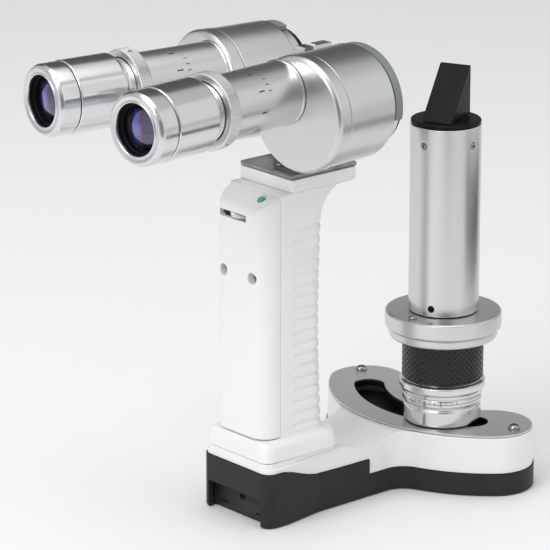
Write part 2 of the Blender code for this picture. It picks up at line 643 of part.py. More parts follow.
def radial_screw(name, column, angle, height, shank, colour):
    """A socket screw pointing at the column's axis, head outwards, at an angle from local -Y."""
    direction = Vector((math.sin(math.radians(angle)), -math.cos(math.radians(angle)), 0.0))
    spin = direction.to_track_quat("Z", "Y").to_matrix()
    seat = direction * LAMP_TUBE_R
    where = {"parent": column, "at": (seat.x, seat.y, height), "turn": spin}
    screw = turned(name, [
        (0.0, -0.9), (0.9, -0.9), (0.9, 0.3), (1.5, 0.15), (1.5, -shank), (0.0, -shank),
    ], colour, steps=10, **where)
    tube = bpy.data.objects["light_tube"]
    cut(tube, rod(name + "_hole", 1.75, -4.0, 4.0, None, sides=12, helper=True, **where))
    return screw


def make_lamp():
    pivot = empty("swing_axis", (0.0, EYE_Y, 0.0), SWING_REST)
    column = empty("column_axis", (0.0, -SWING_R, 0.0), 0.0, pivot)
    make_carriage(pivot)
    turned("lamp_collar", [
        (NECK_R, 77.3), (NECK_R, COLLAR_TOP), (19.2, COLLAR_TOP), (20.9, 51.2), (20.9, 47.8),
        (19.4, 46.9), (19.2, 41.2), (18.3, 40.0), (19.0, 38.4), (18.9, 31.5), (18.3, COLLAR_LOW),
        (2.6, COLLAR_LOW), (2.6, 34.0), (13.3, 34.0), (13.3, 77.3),
    ], CHROME, steps=28, ring=True, parent=column)
    low, high, radius = SLEEVE
    turned("slit_ring", [
        (radius - 0.5, high), (radius, high - 0.5), (radius, low + 0.5), (radius - 0.5, low),
        (16.4, low), (16.4, high),
    ], BLACK, steps=28, ring=True, parent=column)
    low, high, radius = SELECTOR
    turned("filter_ring", [
        (radius - 0.6, high), (radius, high - 0.6), (radius, low + 0.9), (radius - 0.9, low),
        (16.4, low), (16.4, high),
    ], SATIN, steps=28, ring=True, parent=column)
    low, high, radius = DISK
    disk = turned("lamp_disk", [
        (radius - 0.8, high), (radius, high - 0.8), (radius, low + 0.7), (radius - 0.7, low),
        (13.3, low), (13.3, high),
    ], SATIN, steps=32, ring=True, parent=column)
    spot = (22.6 * math.sin(math.radians(-18.0)), -22.6 * math.cos(math.radians(-18.0)))
    cut(disk, rod("disk_thread", 1.4, 80.0, 95.0, None, sides=12, helper=True, parent=column,
                  at=(*spot, 0.0)))
    pan_screw("disk_screw", 2.1, 1.5, 1.1, 4.5, CHROME, parent=column, at=(*spot, high + 0.1),
              turn=Matrix.Rotation(math.radians(50.0), 3, "Z"))
    turned("light_tube", [
        (LAMP_TUBE_R - 0.4, LAMP_TUBE[1]), (LAMP_TUBE_R, LAMP_TUBE[1] - 0.4),
        (LAMP_TUBE_R, LAMP_TUBE[0] + 0.5), (LAMP_TUBE_R - 0.5, LAMP_TUBE[0]),
        (15.2, LAMP_TUBE[0]), (15.2, LAMP_TUBE[1]),
    ], SATIN, steps=28, ring=True, parent=column)
    radial_screw("tube_screw_left", column, -15.0, 170.4, 1.5, STEEL)
    radial_screw("tube_screw_right", column, 72.0, 170.4, 1.5, STEEL)
    radial_screw("tube_screw_low", column, 2.0, 90.4, 1.5, BLACK)
    turned("tube_cap", [
        (16.6, 181.0), (16.9, 180.7), (16.9, 179.5), (16.6, 179.2), (8.0, 179.2), (8.0, 181.0),
    ], BLACK, steps=24, ring=True, parent=column)
    head = side_prism("prism_head", [
        (-12.0, 181.3), (11.6, 181.3), (11.6, 205.0), (10.0, 205.0),
    ], 7.6, BLACK, parent=column)
    cut(head, side_prism("head_pocket", [
        (-7.6, 170.0), (20.0, 170.0), (20.0, 201.6), (9.4, 201.6), (-7.6, 183.2),
    ], 6.2, None, helper=True, parent=column))
    side_prism("mirror_prism", [(-6.6, 181.8), (10.8, 181.8), (10.8, 200.6), (10.0, 200.6), (-6.6, 182.9)],
               5.8, GLASS, parent=column)
    turned("lamp_led", [
        (0.0, 50.2), (2.4, 49.4), (3.6, 46.4), (12.9, 46.0), (12.9, 42.0), (11.0, 41.6),
        (11.0, 34.4), (0.0, 34.4),
    ], SATIN, steps=16, parent=column)
    turned("condenser_lens", [
        (0.0, 66.0), (6.5, 65.0), (12.9, 61.6), (12.9, 60.2), (0.0, 60.0),
    ], GLASS, steps=16, parent=column)
    turned("projection_lens", [
        (0.0, 165.0), (7.5, 164.4), (14.9, 162.6), (14.9, 160.8), (7.5, 159.4), (0.0, 159.0),
    ], GLASS, steps=16, parent=column)


def settle():
    """Give every part its finished mesh, smooth with crisp edges."""
    bpy.context.view_layer.update()
    graph = bpy.context.evaluated_depsgraph_get()
    finished = {}
    for made in PARTS.objects:
        if made.type == "MESH":
            finished[made] = bpy.data.meshes.new_from_object(made.evaluated_get(graph))
    for made, mesh in finished.items():
        made.modifiers.clear()
        mesh.name = made.name
        made.data = mesh
        mesh.shade_smooth()
        mesh.set_sharp_from_angle(angle=math.radians(32.0))


make_tray()
make_shell()
make_plate()
make_grip()
make_cover()
make_grip_contents()
make_drum(1.0)
make_drum(-1.0)
make_bridge()
make_lamp()
settle()
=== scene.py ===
"""Looks for the hand-held slit lamp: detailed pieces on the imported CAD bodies, in a plain pale studio.

Frame: +X is the operator's right, +Y points from the operator to the patient, +Z is up, in metres.
The shape helpers take millimetres and turn them into metres.
"""

import math

import bpy
from mathutils import Matrix, Vector


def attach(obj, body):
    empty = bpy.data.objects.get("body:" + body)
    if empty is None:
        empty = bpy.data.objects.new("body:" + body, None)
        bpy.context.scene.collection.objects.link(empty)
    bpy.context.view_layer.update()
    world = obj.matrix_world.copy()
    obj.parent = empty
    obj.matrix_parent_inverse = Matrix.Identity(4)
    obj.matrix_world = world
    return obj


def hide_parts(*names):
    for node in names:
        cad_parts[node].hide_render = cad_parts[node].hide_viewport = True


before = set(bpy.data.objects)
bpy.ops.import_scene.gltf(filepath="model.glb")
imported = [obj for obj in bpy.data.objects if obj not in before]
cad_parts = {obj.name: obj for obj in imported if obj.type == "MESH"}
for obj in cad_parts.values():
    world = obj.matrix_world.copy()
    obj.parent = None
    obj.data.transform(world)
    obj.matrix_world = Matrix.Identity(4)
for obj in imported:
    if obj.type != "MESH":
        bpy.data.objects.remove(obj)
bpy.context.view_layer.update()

MM = 0.001
PI = math.pi
EYE_Y = 126.0
ARC_MID = 59.5
PLATE_TOP = 30.5
ARC_END = 50.0
SLOT_MID = 58.0
SLOT_HALF = 7.6
PLATE_HALF = 18.8
GRIP_HALF = 18.3
GRIP_REAR = -25.2
RIB_FIRST = 46.0
RIB_PITCH = 5.65
RIB_DEPTH = 0.80
COVER_HOLE = (10.2, 120.3)
HEAD_BOLT = (12.0, 17.6)
SWING_R = 56.0
SWING_REST = 24.0
COLLAR_R = 19.35
NECK_LOW = 204.0
LED_AT = (8.8, -28.3)
PLATE_SCREWS = {"right": (67.8, 58.0), "left": (65.2, -60.5)}

# ---------------------------------------------------------------- materials


def chain(tree, kind, **sockets):
    """A node with some of its inputs set or linked."""
    node = tree.nodes.new(kind)
    for key, value in sockets.items():
        socket = node.inputs[int(key[1:])] if key[0] == "i" and key[1:].isdigit() else node.inputs[key]
        if isinstance(value, bpy.types.NodeSocket):
            tree.links.new(value, socket)
        else:
            socket.default_value = value
    return node


def maths(tree, operation, first, second=0.0):
    node = chain(tree, "ShaderNodeMath", i0=first, i1=second)
    node.operation = operation
    return node.outputs[0]


def noise(tree, vector, scale, detail=3.0, roughness=0.55):
    node = chain(tree, "ShaderNodeTexNoise", Vector=vector, Scale=scale, Detail=detail, Roughness=roughness)
    return node.outputs["Fac"]


def spread(tree, value, low, high, start=0.3, end=0.7):
    node = chain(tree, "ShaderNodeMapRange", Value=value)
    for key, number in (("From Min", start), ("From Max", end), ("To Min", low), ("To Max", high)):
        node.inputs[key].default_value = number
    return node.outputs[0]


def blend_colours(tree, factor, first, second, mode="MIX"):
    node = tree.nodes.new("ShaderNodeMix")
    node.data_type = "RGBA"
    node.blend_type = mode
    for socket, value in ((node.inputs[0], factor), (node.inputs[6], first), (node.inputs[7], second)):
        if isinstance(value, bpy.types.NodeSocket):
            tree.links.new(value, socket)
        elif isinstance(value, tuple):
            socket.default_value = (*value, 1.0)
        else:
            socket.default_value = value
    return node.outputs[2]


def surface(name, colour, tint, metallic=0.0, rough=(0.3, 0.4), patches=90.0, grain=1500.0,
            bump=0.15, depth=0.00003, lathe=False, stretch=(1.0, 1.0, 1.0), edge_highlight=None, **constants):
    """A finish with colour drift, uneven gloss and a fine grain, and, where an edge colour is given, a painted
    highlight that lightens sharp edges. Lathe runs the grain round the piece's own Z.
    """
    made = bpy.data.materials.new(name)
    made.use_nodes = True
    tree = made.node_tree
    shader = tree.nodes["Principled BSDF"]
    place = tree.nodes.new("ShaderNodeTexCoord").outputs["Object"]
    if lathe:
        parts = chain(tree, "ShaderNodeSeparateXYZ", Vector=place).outputs
        across = maths(tree, "SQRT", maths(tree, "ADD", maths(tree, "MULTIPLY", parts[0], parts[0]),
                                           maths(tree, "MULTIPLY", parts[1], parts[1])))
        grained = chain(tree, "ShaderNodeCombineXYZ", X=across, Y=maths(tree, "MULTIPLY", parts[0], 0.02),
                        Z=parts[2]).outputs[0]
    else:
        grained = chain(tree, "ShaderNodeMapping", Vector=place, Scale=stretch).outputs[0]
    drift = noise(tree, place, patches, 4.0)
    fine = noise(tree, grained, grain, 2.0)
    mixed = maths(tree, "MULTIPLY", maths(tree, "ADD", drift, fine), 0.5)
    shade = blend_colours(tree, spread(tree, mixed, 0.0, 1.0, 0.35, 0.65), colour, tint)
    # Painted highlight: sharp edges (by pointiness) are lightened towards the given edge colour, in patches.
    if edge_highlight is not None:
        edge = tree.nodes.new("ShaderNodeNewGeometry").outputs["Pointiness"]
        highlight_amount = maths(tree, "MULTIPLY", spread(tree, edge, 0.0, 0.7, 0.52, 0.6), spread(tree, drift, 0.3, 1.0))
        shade = blend_colours(tree, highlight_amount, shade, edge_highlight)
    tree.links.new(shade, shader.inputs["Base Color"])
    tree.links.new(spread(tree, mixed, rough[0], rough[1], 0.3, 0.7), shader.inputs["Roughness"])
    dents = chain(tree, "ShaderNodeBump", Strength=bump, Distance=depth, Height=fine)
    tree.links.new(dents.outputs[0], shader.inputs["Normal"])
    shader.inputs["Metallic"].default_value = metallic
    for key, value in constants.items():
        shader.inputs[key.replace("_", " ")].default_value = value
    return made


def coated_glass(name, deep, reflection_bands):
    """Dark coated glass with a painted reflection: coloured bands whose colour changes from the middle outwards."""
    made = surface(name, deep, deep, rough=(0.015, 0.04), bump=0.02, grain=400.0, IOR=1.6,
                   Coat_Weight=1.0, Coat_Roughness=0.02)
    tree = made.node_tree
    shader = tree.nodes["Principled BSDF"]
    place = tree.nodes.new("ShaderNodeTexCoord").outputs["Object"]
    parts = chain(tree, "ShaderNodeSeparateXYZ", Vector=place).outputs
    shifted = maths(tree, "ADD", parts[0], maths(tree, "MULTIPLY", noise(tree, place, 120.0), 0.004))
    across = maths(tree, "ADD", maths(tree, "MULTIPLY", shifted, 45.0), 0.42)
    reflection_ramp = chain(tree, "ShaderNodeValToRGB", Fac=across)
    stops = reflection_ramp.color_ramp.elements
    for position, tone in reflection_bands[2:]:
        stops.new(position).color = (*tone, 1.0)
    for stop, (position, tone) in zip((stops[0], stops[len(stops) - 1]), reflection_bands[:2]):
        stop.position = position
        stop.color = (*tone, 1.0)
    # Painted reflection: the bands show in a narrow strip across the middle, and the deep colour shows elsewhere.
    height = spread(tree, maths(tree, "ABSOLUTE", parts[1]), 1.0, 0.0, 0.002, 0.010)
    tree.links.new(blend_colours(tree, height, deep, reflection_ramp.outputs[0]), shader.inputs["Base Color"])
    return made


WHITE = surface("white_plastic", (0.86, 0.86, 0.855), (0.83, 0.83, 0.825), rough=(0.30, 0.38), grain=1400.0,
                bump=0.07, depth=0.00002, Coat_Weight=0.15, Coat_Roughness=0.25)
# The edge colours given below are painted highlights, each lighter than its base colour.
CHARCOAL = surface("charcoal_plastic", (0.012, 0.0135, 0.016), (0.017, 0.019, 0.022), rough=(0.42, 0.52),
                   grain=1100.0, bump=0.30, depth=0.00004, edge_highlight=(0.04, 0.042, 0.046), Specular_IOR_Level=0.28)
SATIN = surface("satin_aluminium", (0.66, 0.665, 0.67), (0.64, 0.645, 0.65), 1.0, (0.27, 0.30), grain=2600.0,
                bump=0.03, depth=0.00001, lathe=True, edge_highlight=(0.78, 0.785, 0.79), Anisotropic=0.35)
CHROME = surface("polished_chrome", (0.70, 0.71, 0.72), (0.68, 0.69, 0.70), 1.0, (0.17, 0.21), grain=1800.0,
                 bump=0.02, depth=0.00001, lathe=True, edge_highlight=(0.90, 0.91, 0.92))
KNURLED = surface("knurled_aluminium", (0.72, 0.725, 0.73), (0.66, 0.665, 0.67), 1.0, (0.28, 0.36),
                  grain=2200.0, bump=0.10, depth=0.00002, lathe=True)
BLACK = surface("black_metal", (0.004, 0.004, 0.0045), (0.007, 0.007, 0.008), 0.0, (0.34, 0.42), grain=1700.0,
                bump=0.12, depth=0.00002, edge_highlight=(0.02, 0.02, 0.022), Specular_IOR_Level=0.14)
BLACK_KNURL = surface("black_knurl", (0.012, 0.012, 0.014), (0.022, 0.022, 0.025), 0.4, (0.20, 0.28),
                      grain=1500.0, bump=0.08, depth=0.00002, edge_highlight=(0.14, 0.14, 0.15))
STEEL = surface("steel_plate", (0.62, 0.625, 0.63), (0.58, 0.585, 0.59), 1.0, (0.28, 0.34), grain=1600.0,
                bump=0.06, depth=0.00002, stretch=(0.06, 1.0, 1.0), edge_highlight=(0.74, 0.75, 0.76))
SCREW = surface("bright_screw", (0.40, 0.405, 0.41), (0.34, 0.345, 0.35), 1.0, (0.16, 0.24), grain=1200.0,
                bump=0.08, depth=0.00002, lathe=True, edge_highlight=(0.7, 0.71, 0.72))
DARK_STEEL = surface("dark_steel", (0.16, 0.162, 0.165), (0.14, 0.142, 0.145), 1.0, (0.20, 0.27),
                     grain=1500.0, bump=0.07, depth=0.00002, stretch=(1.0, 0.06, 1.0), edge_highlight=(0.6, 0.61, 0.62))
BAND = surface("band_grey", (0.20, 0.215, 0.215), (0.23, 0.245, 0.245), 0.15, (0.32, 0.4), grain=1500.0,
               bump=0.08, depth=0.00002, edge_highlight=(0.25, 0.26, 0.26))
# The colour bands below are a painted reflection on the coated lens.
LENS = coated_glass("coated_eye_lens", (0.006, 0.006, 0.011), (
    (0.0, (0.01, 0.01, 0.012)), (1.0, (0.012, 0.01, 0.03)), (0.14, (0.10, 0.09, 0.05)),
    (0.22, (0.012, 0.012, 0.02)), (0.34, (0.03, 0.08, 0.42)), (0.48, (0.14, 0.06, 0.22)),
    (0.62, (0.02, 0.015, 0.06)), (0.8, (0.05, 0.03, 0.12)),
))
GLASS = surface("lens_glass", (0.10, 0.12, 0.17), (0.12, 0.13, 0.2), 0.0, (0.02, 0.05), grain=300.0,
                bump=0.02, depth=0.00001, IOR=1.55, Coat_Weight=0.6, Coat_Roughness=0.03)
GREEN = surface("green_lens", (0.03, 0.34, 0.12), (0.05, 0.42, 0.17), 0.0, (0.12, 0.2), grain=700.0,
                bump=0.05, depth=0.00002, Coat_Weight=0.6, Coat_Roughness=0.05)
BOARD = surface("board_green", (0.015, 0.14, 0.06), (0.03, 0.2, 0.08), 0.0, (0.35, 0.5), grain=900.0)
CELL = surface("cell_wrap", (0.06, 0.16, 0.38), (0.08, 0.2, 0.45), 0.0, (0.25, 0.35), grain=600.0)
BRASS = surface("contact_brass", (0.72, 0.52, 0.2), (0.6, 0.42, 0.15), 1.0, (0.2, 0.35), grain=1500.0)
INK = surface("dark_ink", (0.03, 0.035, 0.035), (0.05, 0.06, 0.055), 0.0, (0.5, 0.6), grain=2000.0)
GREEN_INK = surface("green_ink", (0.10, 0.24, 0.12), (0.14, 0.3, 0.15), 0.0, (0.5, 0.6), grain=2000.0)

# ---------------------------------------------------------------- shape helpers


def link(name, mesh, where=None):
    made = bpy.data.objects.new(name, mesh)
    bpy.context.scene.collection.objects.link(made)
    if where is not None:
        made.matrix_world = where
    return made


def from_rows(name, points, faces, where=None):
    mesh = bpy.data.meshes.new(name)
    mesh.from_pydata([Vector(point) * MM for point in points], [], faces)
    mesh.update()
    return link(name, mesh, where)


def soften(profile, size=0.25, ring=False, parts=3):
    """Round the corners of a profile with small curves."""
    made = []
    for i, point in enumerate(profile):
        corner = Vector(point)
        if not ring and i in (0, len(profile) - 1):
            made.append(corner)
            continue
        before = Vector(profile[i - 1]) - corner
        after = Vector(profile[(i + 1) % len(profile)]) - corner
        if PI - before.angle(after) < 0.15:
            made.append(corner)
            continue
        reach = min(size, 0.45 * before.length, 0.45 * after.length)
        start, end = corner + before.normalized() * reach, corner + after.normalized() * reach
        for k in range(parts + 1):
            t = k / parts
            made.append(start * (1 - t) ** 2 + corner * 2 * t * (1 - t) + end * t * t)
    return made


def turned(name, profile, steps=96, ring=False, where=None, shape=None, size=0.25):
    """Revolve (radius, height) points, outer side from the top down. shape(r, z, angle) gives a new radius."""
    points, faces, rows = [], [], []
    for radius, height in soften(profile, size, ring):
        if radius < 1e-6:
            rows.append([len(points)])
            points.append((0.0, 0.0, height))
            continue
        rows.append(range(len(points), len(points) + steps))
        for i in range(steps):
            angle = 2 * PI * i / steps
            reach = shape(radius, height, angle) if shape else radius
            points.append((reach * math.cos(angle), reach * math.sin(angle), height))
    pairs = list(zip(rows, rows[1:]))
    if ring:
        pairs.append((rows[-1], rows[0]))
    for upper, lower in pairs:
        for i in range(steps):
            j = (i + 1) % steps
            if len(upper) == 1:
                faces.append((upper[0], lower[i], lower[j]))
            elif len(lower) == 1:
                faces.append((upper[i], lower[0], upper[j]))
            else:
                faces.append((upper[i], lower[i], lower[j], upper[j]))
    return from_rows(name, points, faces, where)


def loft(name, rings, where=None):
    """Skin closed outlines with equal counts of points, and cap both ends."""
    count = len(rings[0])
    points = [point for ring in rings for point in ring]
    faces = [tuple(reversed(range(count)))]
    for k in range(len(rings) - 1):
        for i in range(count):
            j = (i + 1) % count
            faces.append((k * count + i, k * count + j, (k + 1) * count + j, (k + 1) * count + i))
    faces.append(tuple(range((len(rings) - 1) * count, len(rings) * count)))
    return from_rows(name, points, faces, where)


def prism(name, outline, low, high, where=None):
    return loft(name, [[(x, y, z) for x, y in outline] for z in (low, high)], where)


def side_prism(name, outline, half, where=None):
    return loft(name, [[(x, y, z) for y, z in outline] for x in (-half, half)], where)


def box(name, low, high, where=None):
    (x0, y0, z0), (x1, y1, z1) = low, high
    return prism(name, [(x0, y0), (x1, y0), (x1, y1), (x0, y1)], z0, z1, where)


def rod(name, radius, low, high, where=None, steps=48):
    return turned(name, [(0.0, high), (radius, high), (radius, low), (0.0, low)], steps, where=where, size=0.001)


def combine(target, tool, operation="DIFFERENCE"):
    step = target.modifiers.new(tool.name, "BOOLEAN")
    step.operation = operation
    step.solver = "EXACT"
    step.object = tool
    settle(target)
    bpy.data.objects.remove(tool, do_unlink=True)
    return target


def settle(made):
    """Apply every modifier."""
    bpy.context.view_layer.update()
    graph = bpy.context.evaluated_depsgraph_get()
    old = made.data
    made.data = bpy.data.meshes.new_from_object(made.evaluated_get(graph))
    made.modifiers.clear()
    bpy.data.meshes.remove(old)


def bevel(made, width, segments=3, angle=32.0):
    step = made.modifiers.new("edges", "BEVEL")
    step.width = width * MM
    step.segments = segments
    step.limit_method = "ANGLE"
    step.angle_limit = math.radians(angle)
    step.harden_normals = False
    settle(made)
    return made


def upright(made):
    """Turn the mesh and not the object, so that its box stays square to the frame."""
    spot = Matrix.Translation(made.matrix_world.translation)
    made.data.transform(spot.inverted() @ made.matrix_world)
    made.matrix_world = spot


def piece(made, body, look, slot, *nodes, sharp=34.0):
    """Finish a piece: smooth normals with crisp edges, its finish, its body and the CAD nodes it stands for."""
    name = made.name
    made.data.name = name
    made.data.materials.clear()
    made.data.materials.append(look)
    made.data.shade_smooth()
    made.data.set_sharp_from_angle(angle=math.radians(sharp))
    step = made.modifiers.new("normals", "WEIGHTED_NORMAL")
    step.keep_sharp = True
    settle(made)
    if body in ("lamp", "slit_control", "filter_control"):
        upright(made)
    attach(made, body)
    if nodes:
        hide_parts(*nodes)
    return made


def arc(cx, cy, radius, first, last, steps):
    """Points on a circle. Angles in degrees from -Y, positive towards +X."""
    found = []
    for i in range(steps + 1):
        angle = math.radians(first + (last - first) * i / steps)
        found.append((cx + radius * math.sin(angle), cy - radius * math.cos(angle)))
    return found


def crescent(mid, half, end, steps=72, nose=24, centre=EYE_Y):
    outer = arc(0.0, centre, mid + half, -end, end, steps)
    right = arc(*arc(0.0, centre, mid, end, end, 1)[0], half, end, end + 180.0, nose)
    inner = arc(0.0, centre, mid - half, end, -end, steps)
    left = arc(*arc(0.0, centre, mid, -end, -end, 1)[0], half, -end - 180.0, -end, nose)
    return outer + right[1:-1] + inner + left[1:-1]


def subdivided(points, longest):
    made = []
    for (x0, y0), (x1, y1) in zip(points, points[1:]):
        count = max(1, int(math.hypot(x1 - x0, y1 - y0) / longest))
        made += [(x0 + (x1 - x0) * k / count, y0 + (y1 - y0) * k / count) for k in range(count)]
    return made + [points[-1]]


def base_outline(inset, rear=None):
    """The base in plan: rear block, waist, fillet and crescent."""
    rear = -38.5 + inset if rear is None else rear
    block, waist = 24.5 - inset, 21.3 - inset
    corner = max(6.0 - inset, 1.5)
    fillet, half = 12.0 + inset, 20.0 - inset
    reach = ARC_MID + half
    centre_x = waist + fillet
    centre_y = EYE_Y - math.sqrt((reach + fillet) ** 2 - centre_x ** 2)
    tangent = math.degrees(math.atan2(centre_x, EYE_Y - centre_y))
    side = arc(block - corner, rear + corner, corner, 0.0, 90.0, 12)
    side += subdivided([(block, -25.0), (waist, -3.0)], 1.5)[(0 if side[-1][1] < -25.01 else 1):]
    run = [(waist, -3.0 + (centre_y + 3.0) * k / 9) for k in range(1, 9)]
    side += run
    side += arc(centre_x, centre_y, fillet, -90.0, -180.0 + tangent, 14)
    side += arc(0.0, EYE_Y, reach, tangent, ARC_END, 48)[1:]
    nose = arc(0.0, EYE_Y, ARC_MID, ARC_END, ARC_END, 1)[0]
    side += arc(*nose, half, ARC_END, ARC_END + 180.0, 36)[1:]
    side += arc(0.0, EYE_Y, ARC_MID - half, ARC_END, 0.0, 40)[1:]
    return side + [(-x, y) for x, y in reversed(side[:-1])]


def level(outline, height):
    return [(x, y, height) for x, y in outline]


def split_line(rise):
    return [
        (-60.0, 26.5 + rise), (-28.0, 26.5 + rise), (-22.0, 24.9 + rise), (-16.0, 22.6 + rise),
        (-10.5, 20.7 + rise), (-5.0, 19.3 + rise), (8.0, 18.9 + rise), (29.0 + rise, 18.7 + rise),
        (29.0 + rise, 11.0 + rise), (150.0, 11.0 + rise), (150.0, 70.0), (-60.0, 70.0),
    ]


def on_arc(radius, angle):
    return arc(0.0, EYE_Y, radius, angle, angle, 1)[0]


def at(x, y, z, turn=None):
    base = Matrix.Translation(Vector((x, y, z)) * MM)
    return base @ turn.to_4x4() if turn is not None else base


BACK = Matrix.Rotation(PI / 2, 3, "X")


def cross_screw(name, radius, height, where, cross=True):
    """A round-head screw above its own origin, with a cross or a slot."""
    made = turned(name, [
        (0.0, height), (radius * 0.4, height * 0.97), (radius * 0.75, height * 0.74),
        (radius * 0.96, height * 0.3), (radius, 0.0), (radius * 0.5, 0.0), (radius * 0.45, -2.0), (0.0, -2.0),
    ], 40, where=where, size=0.12)
    wide = radius * 0.13
    arms = [(radius * (0.62 if cross else 2.0), wide)] + ([(wide, radius * 0.62)] if cross else [])
    for k, (x, y) in enumerate(arms):
        combine(made, box(name + "_arm%d" % k, (-x, -y, height * (0.25 if cross else 0.45)),
                          (x, y, height * 3), where))
    return made


# ---------------------------------------------------------------- base


def make_base():
    tray = loft("tray", [
        level(base_outline(0.8), 0.0), level(base_outline(0.25), 0.25), level(base_outline(0.0), 0.8),
        level(base_outline(0.0), 28.0),
    ])
    combine(tray, side_prism("cut_top", split_line(0.0), 120.0))
    combine(tray, loft("cut_pocket", [level(base_outline(2.2, rear=-30.0), h) for h in (2.2, 50.0)]))
    combine(tray, box("cut_dock", (-19.0, -60.0, -5.0), (19.0, -33.5, 13.6)))
    combine(tray, box("cut_rails", (-20.6, -35.7, -5.0), (20.6, -34.1, 11.6)))
    combine(tray, rod("cut_jack", 2.0, -10.0, 10.0, at(0.0, -33.0, 9.6, BACK)))
    for side in (-1.0, 1.0):
        combine(tray, box("cut_latch", (side * 13.0 - 3.0, -33.6, 3.0), (side * 13.0 + 3.0, -32.6, 3.8)))
    bevel(tray, 0.22, 2)
    piece(tray, "base", CHARCOAL, "charcoal_plastic", "bottom_tray")

    rings = [level(base_outline(0.6), 8.0), level(base_outline(0.8), 24.0)]
    for k in range(7):
        turn = PI / 2 * k / 6
        rings.append(level(base_outline(1.4 - 0.55 * math.cos(turn)), 28.4 + 0.6 * math.sin(turn)))
    shell = loft("shell", rings)
    blocks = []
    for inset, height in ((0.0, 22.0), (0.0, 30.9), (0.12, 31.2), (0.4, 31.45), (0.8, 31.5)):
        half = [
            *arc(17.3, -32.2, 5.2 - inset, 0.0, 90.0, 10), (22.5 - inset, -25.0), (20.0 - inset, -3.0),
            (20.0 - inset, 6.0), *arc(17.0 - inset, 5.5, 3.0, 90.0, 180.0, 8)[1:],
        ]
        blocks.append(level(half + [(-x, y) for x, y in reversed(half)], height))
    combine(shell, loft("add_block", blocks), "UNION")
    combine(shell, side_prism("cut_base", [(-60.0, -10.0), (150.0, -10.0), *reversed(split_line(0.3)[:10])], 120.0))
    combine(shell, rod("cut_saddle", 42.0, -60.0, 60.0, at(0.0, 29.0, 67.5, Matrix.Rotation(PI / 2, 3, "Y")), 240))
    combine(shell, prism("cut_slot", crescent(SLOT_MID, 8.3, 41.0), 20.0, 40.0))
    combine(shell, prism("cut_hollow", crescent(ARC_MID, 15.2, 49.0), -5.0, 26.6))
    combine(shell, box("cut_block_hollow", (-18.4, -33.0, -5.0), (18.4, 4.0, 28.6)))
    combine(shell, box("cut_neck_hollow", (-15.0, 0.0, -5.0), (15.0, 56.0, 22.4)))
    combine(shell, prism("cut_bed", crescent(ARC_MID, 18.3, ARC_END), 28.4, 40.0))
    bevel(shell, 0.35, 3)
    piece(shell, "base", WHITE, "white_plastic", "base_shell")

    outline = [crescent(ARC_MID, PLATE_HALF - inset, ARC_END) for inset in (0.0, 0.0, 0.08, 0.28)]
    plate = loft("plate", [level(o, z) for o, z in zip(outline, (29.3, 30.2, 30.42, PLATE_TOP))])
    combine(plate, prism("cut_plate_slot", crescent(SLOT_MID, SLOT_HALF, 40.0), 20.0, 40.0))
    bevel(plate, 0.12, 2, 50.0)
    piece(plate, "base", STEEL, "steel_plate", "crescent_plate")
    liner = prism("slot_liner", crescent(SLOT_MID, 8.2, 41.0), 26.65, 29.25)
    combine(liner, prism("cut_liner", crescent(SLOT_MID, 7.7, 40.6), 20.0, 40.0))
    piece(liner, "base", BLACK, "black_metal")
    # Painted shade: a black sheet below the slot, so that the hollow under the slot reads dark.
    piece(prism("slot_shade_floor", crescent(SLOT_MID, 14.0, 38.0), 22.2, 22.8), "base", BLACK, "black_metal")
    for label, spot in PLATE_SCREWS.items():
        x, y = on_arc(*spot)
        where = at(x, y, PLATE_TOP + 0.1, Matrix.Rotation(math.radians(5.0 + math.copysign(35.0, x)), 3, "Z"))
        piece(cross_screw("plate_bolt_" + label, 3.0, 2.0, where), "base", SCREW, "polished_chrome",
              "plate_screw_" + label)


# ---------------------------------------------------------------- grip


def grip_section(height, half, rear, front, rear_r, front_r, groove=0.0):
    """One level of the grip. The ribbed stretch lies forward of y = -17."""
    side = arc(half - rear_r, rear + rear_r, rear_r, 0.0, 90.0, 6)
    low = side[-1][1]
    side += [(half, low + (-17.3 - low) * k / 4) for k in range(1, 5)]
    for k in range(1, 6):
        t = k / 5
        side.append((half - groove * t * t * (3 - 2 * t), -17.3 + 1.6 * t))
    reach, tip = half - groove, front - 0.35 * groove
    side += [(reach, -15.7 + (tip - front_r + 15.7) * k / 6) for k in range(1, 6)]
    side += arc(reach - front_r, tip - front_r, front_r, 90.0, 180.0, 14)
    side += [((reach - front_r) * (1 - k / 4), tip) for k in range(1, 4)]
    return [(x, y, height) for x, y in side + [(-x, y) for x, y in reversed(side)]]


def grip_front(height):
    front = 3.2 + 1.4 * ((height - 95.0) / 50.0) ** 2
    if height > 146.0:
        sweep = min((height - 146.0) / 14.0, 1.0)
        start = 3.2 + 1.4 * ((146.0 - 95.0) / 50.0) ** 2
        front = start + (14.5 - start) * (1.0 - math.sqrt(1.0 - sweep ** 2))
    return front


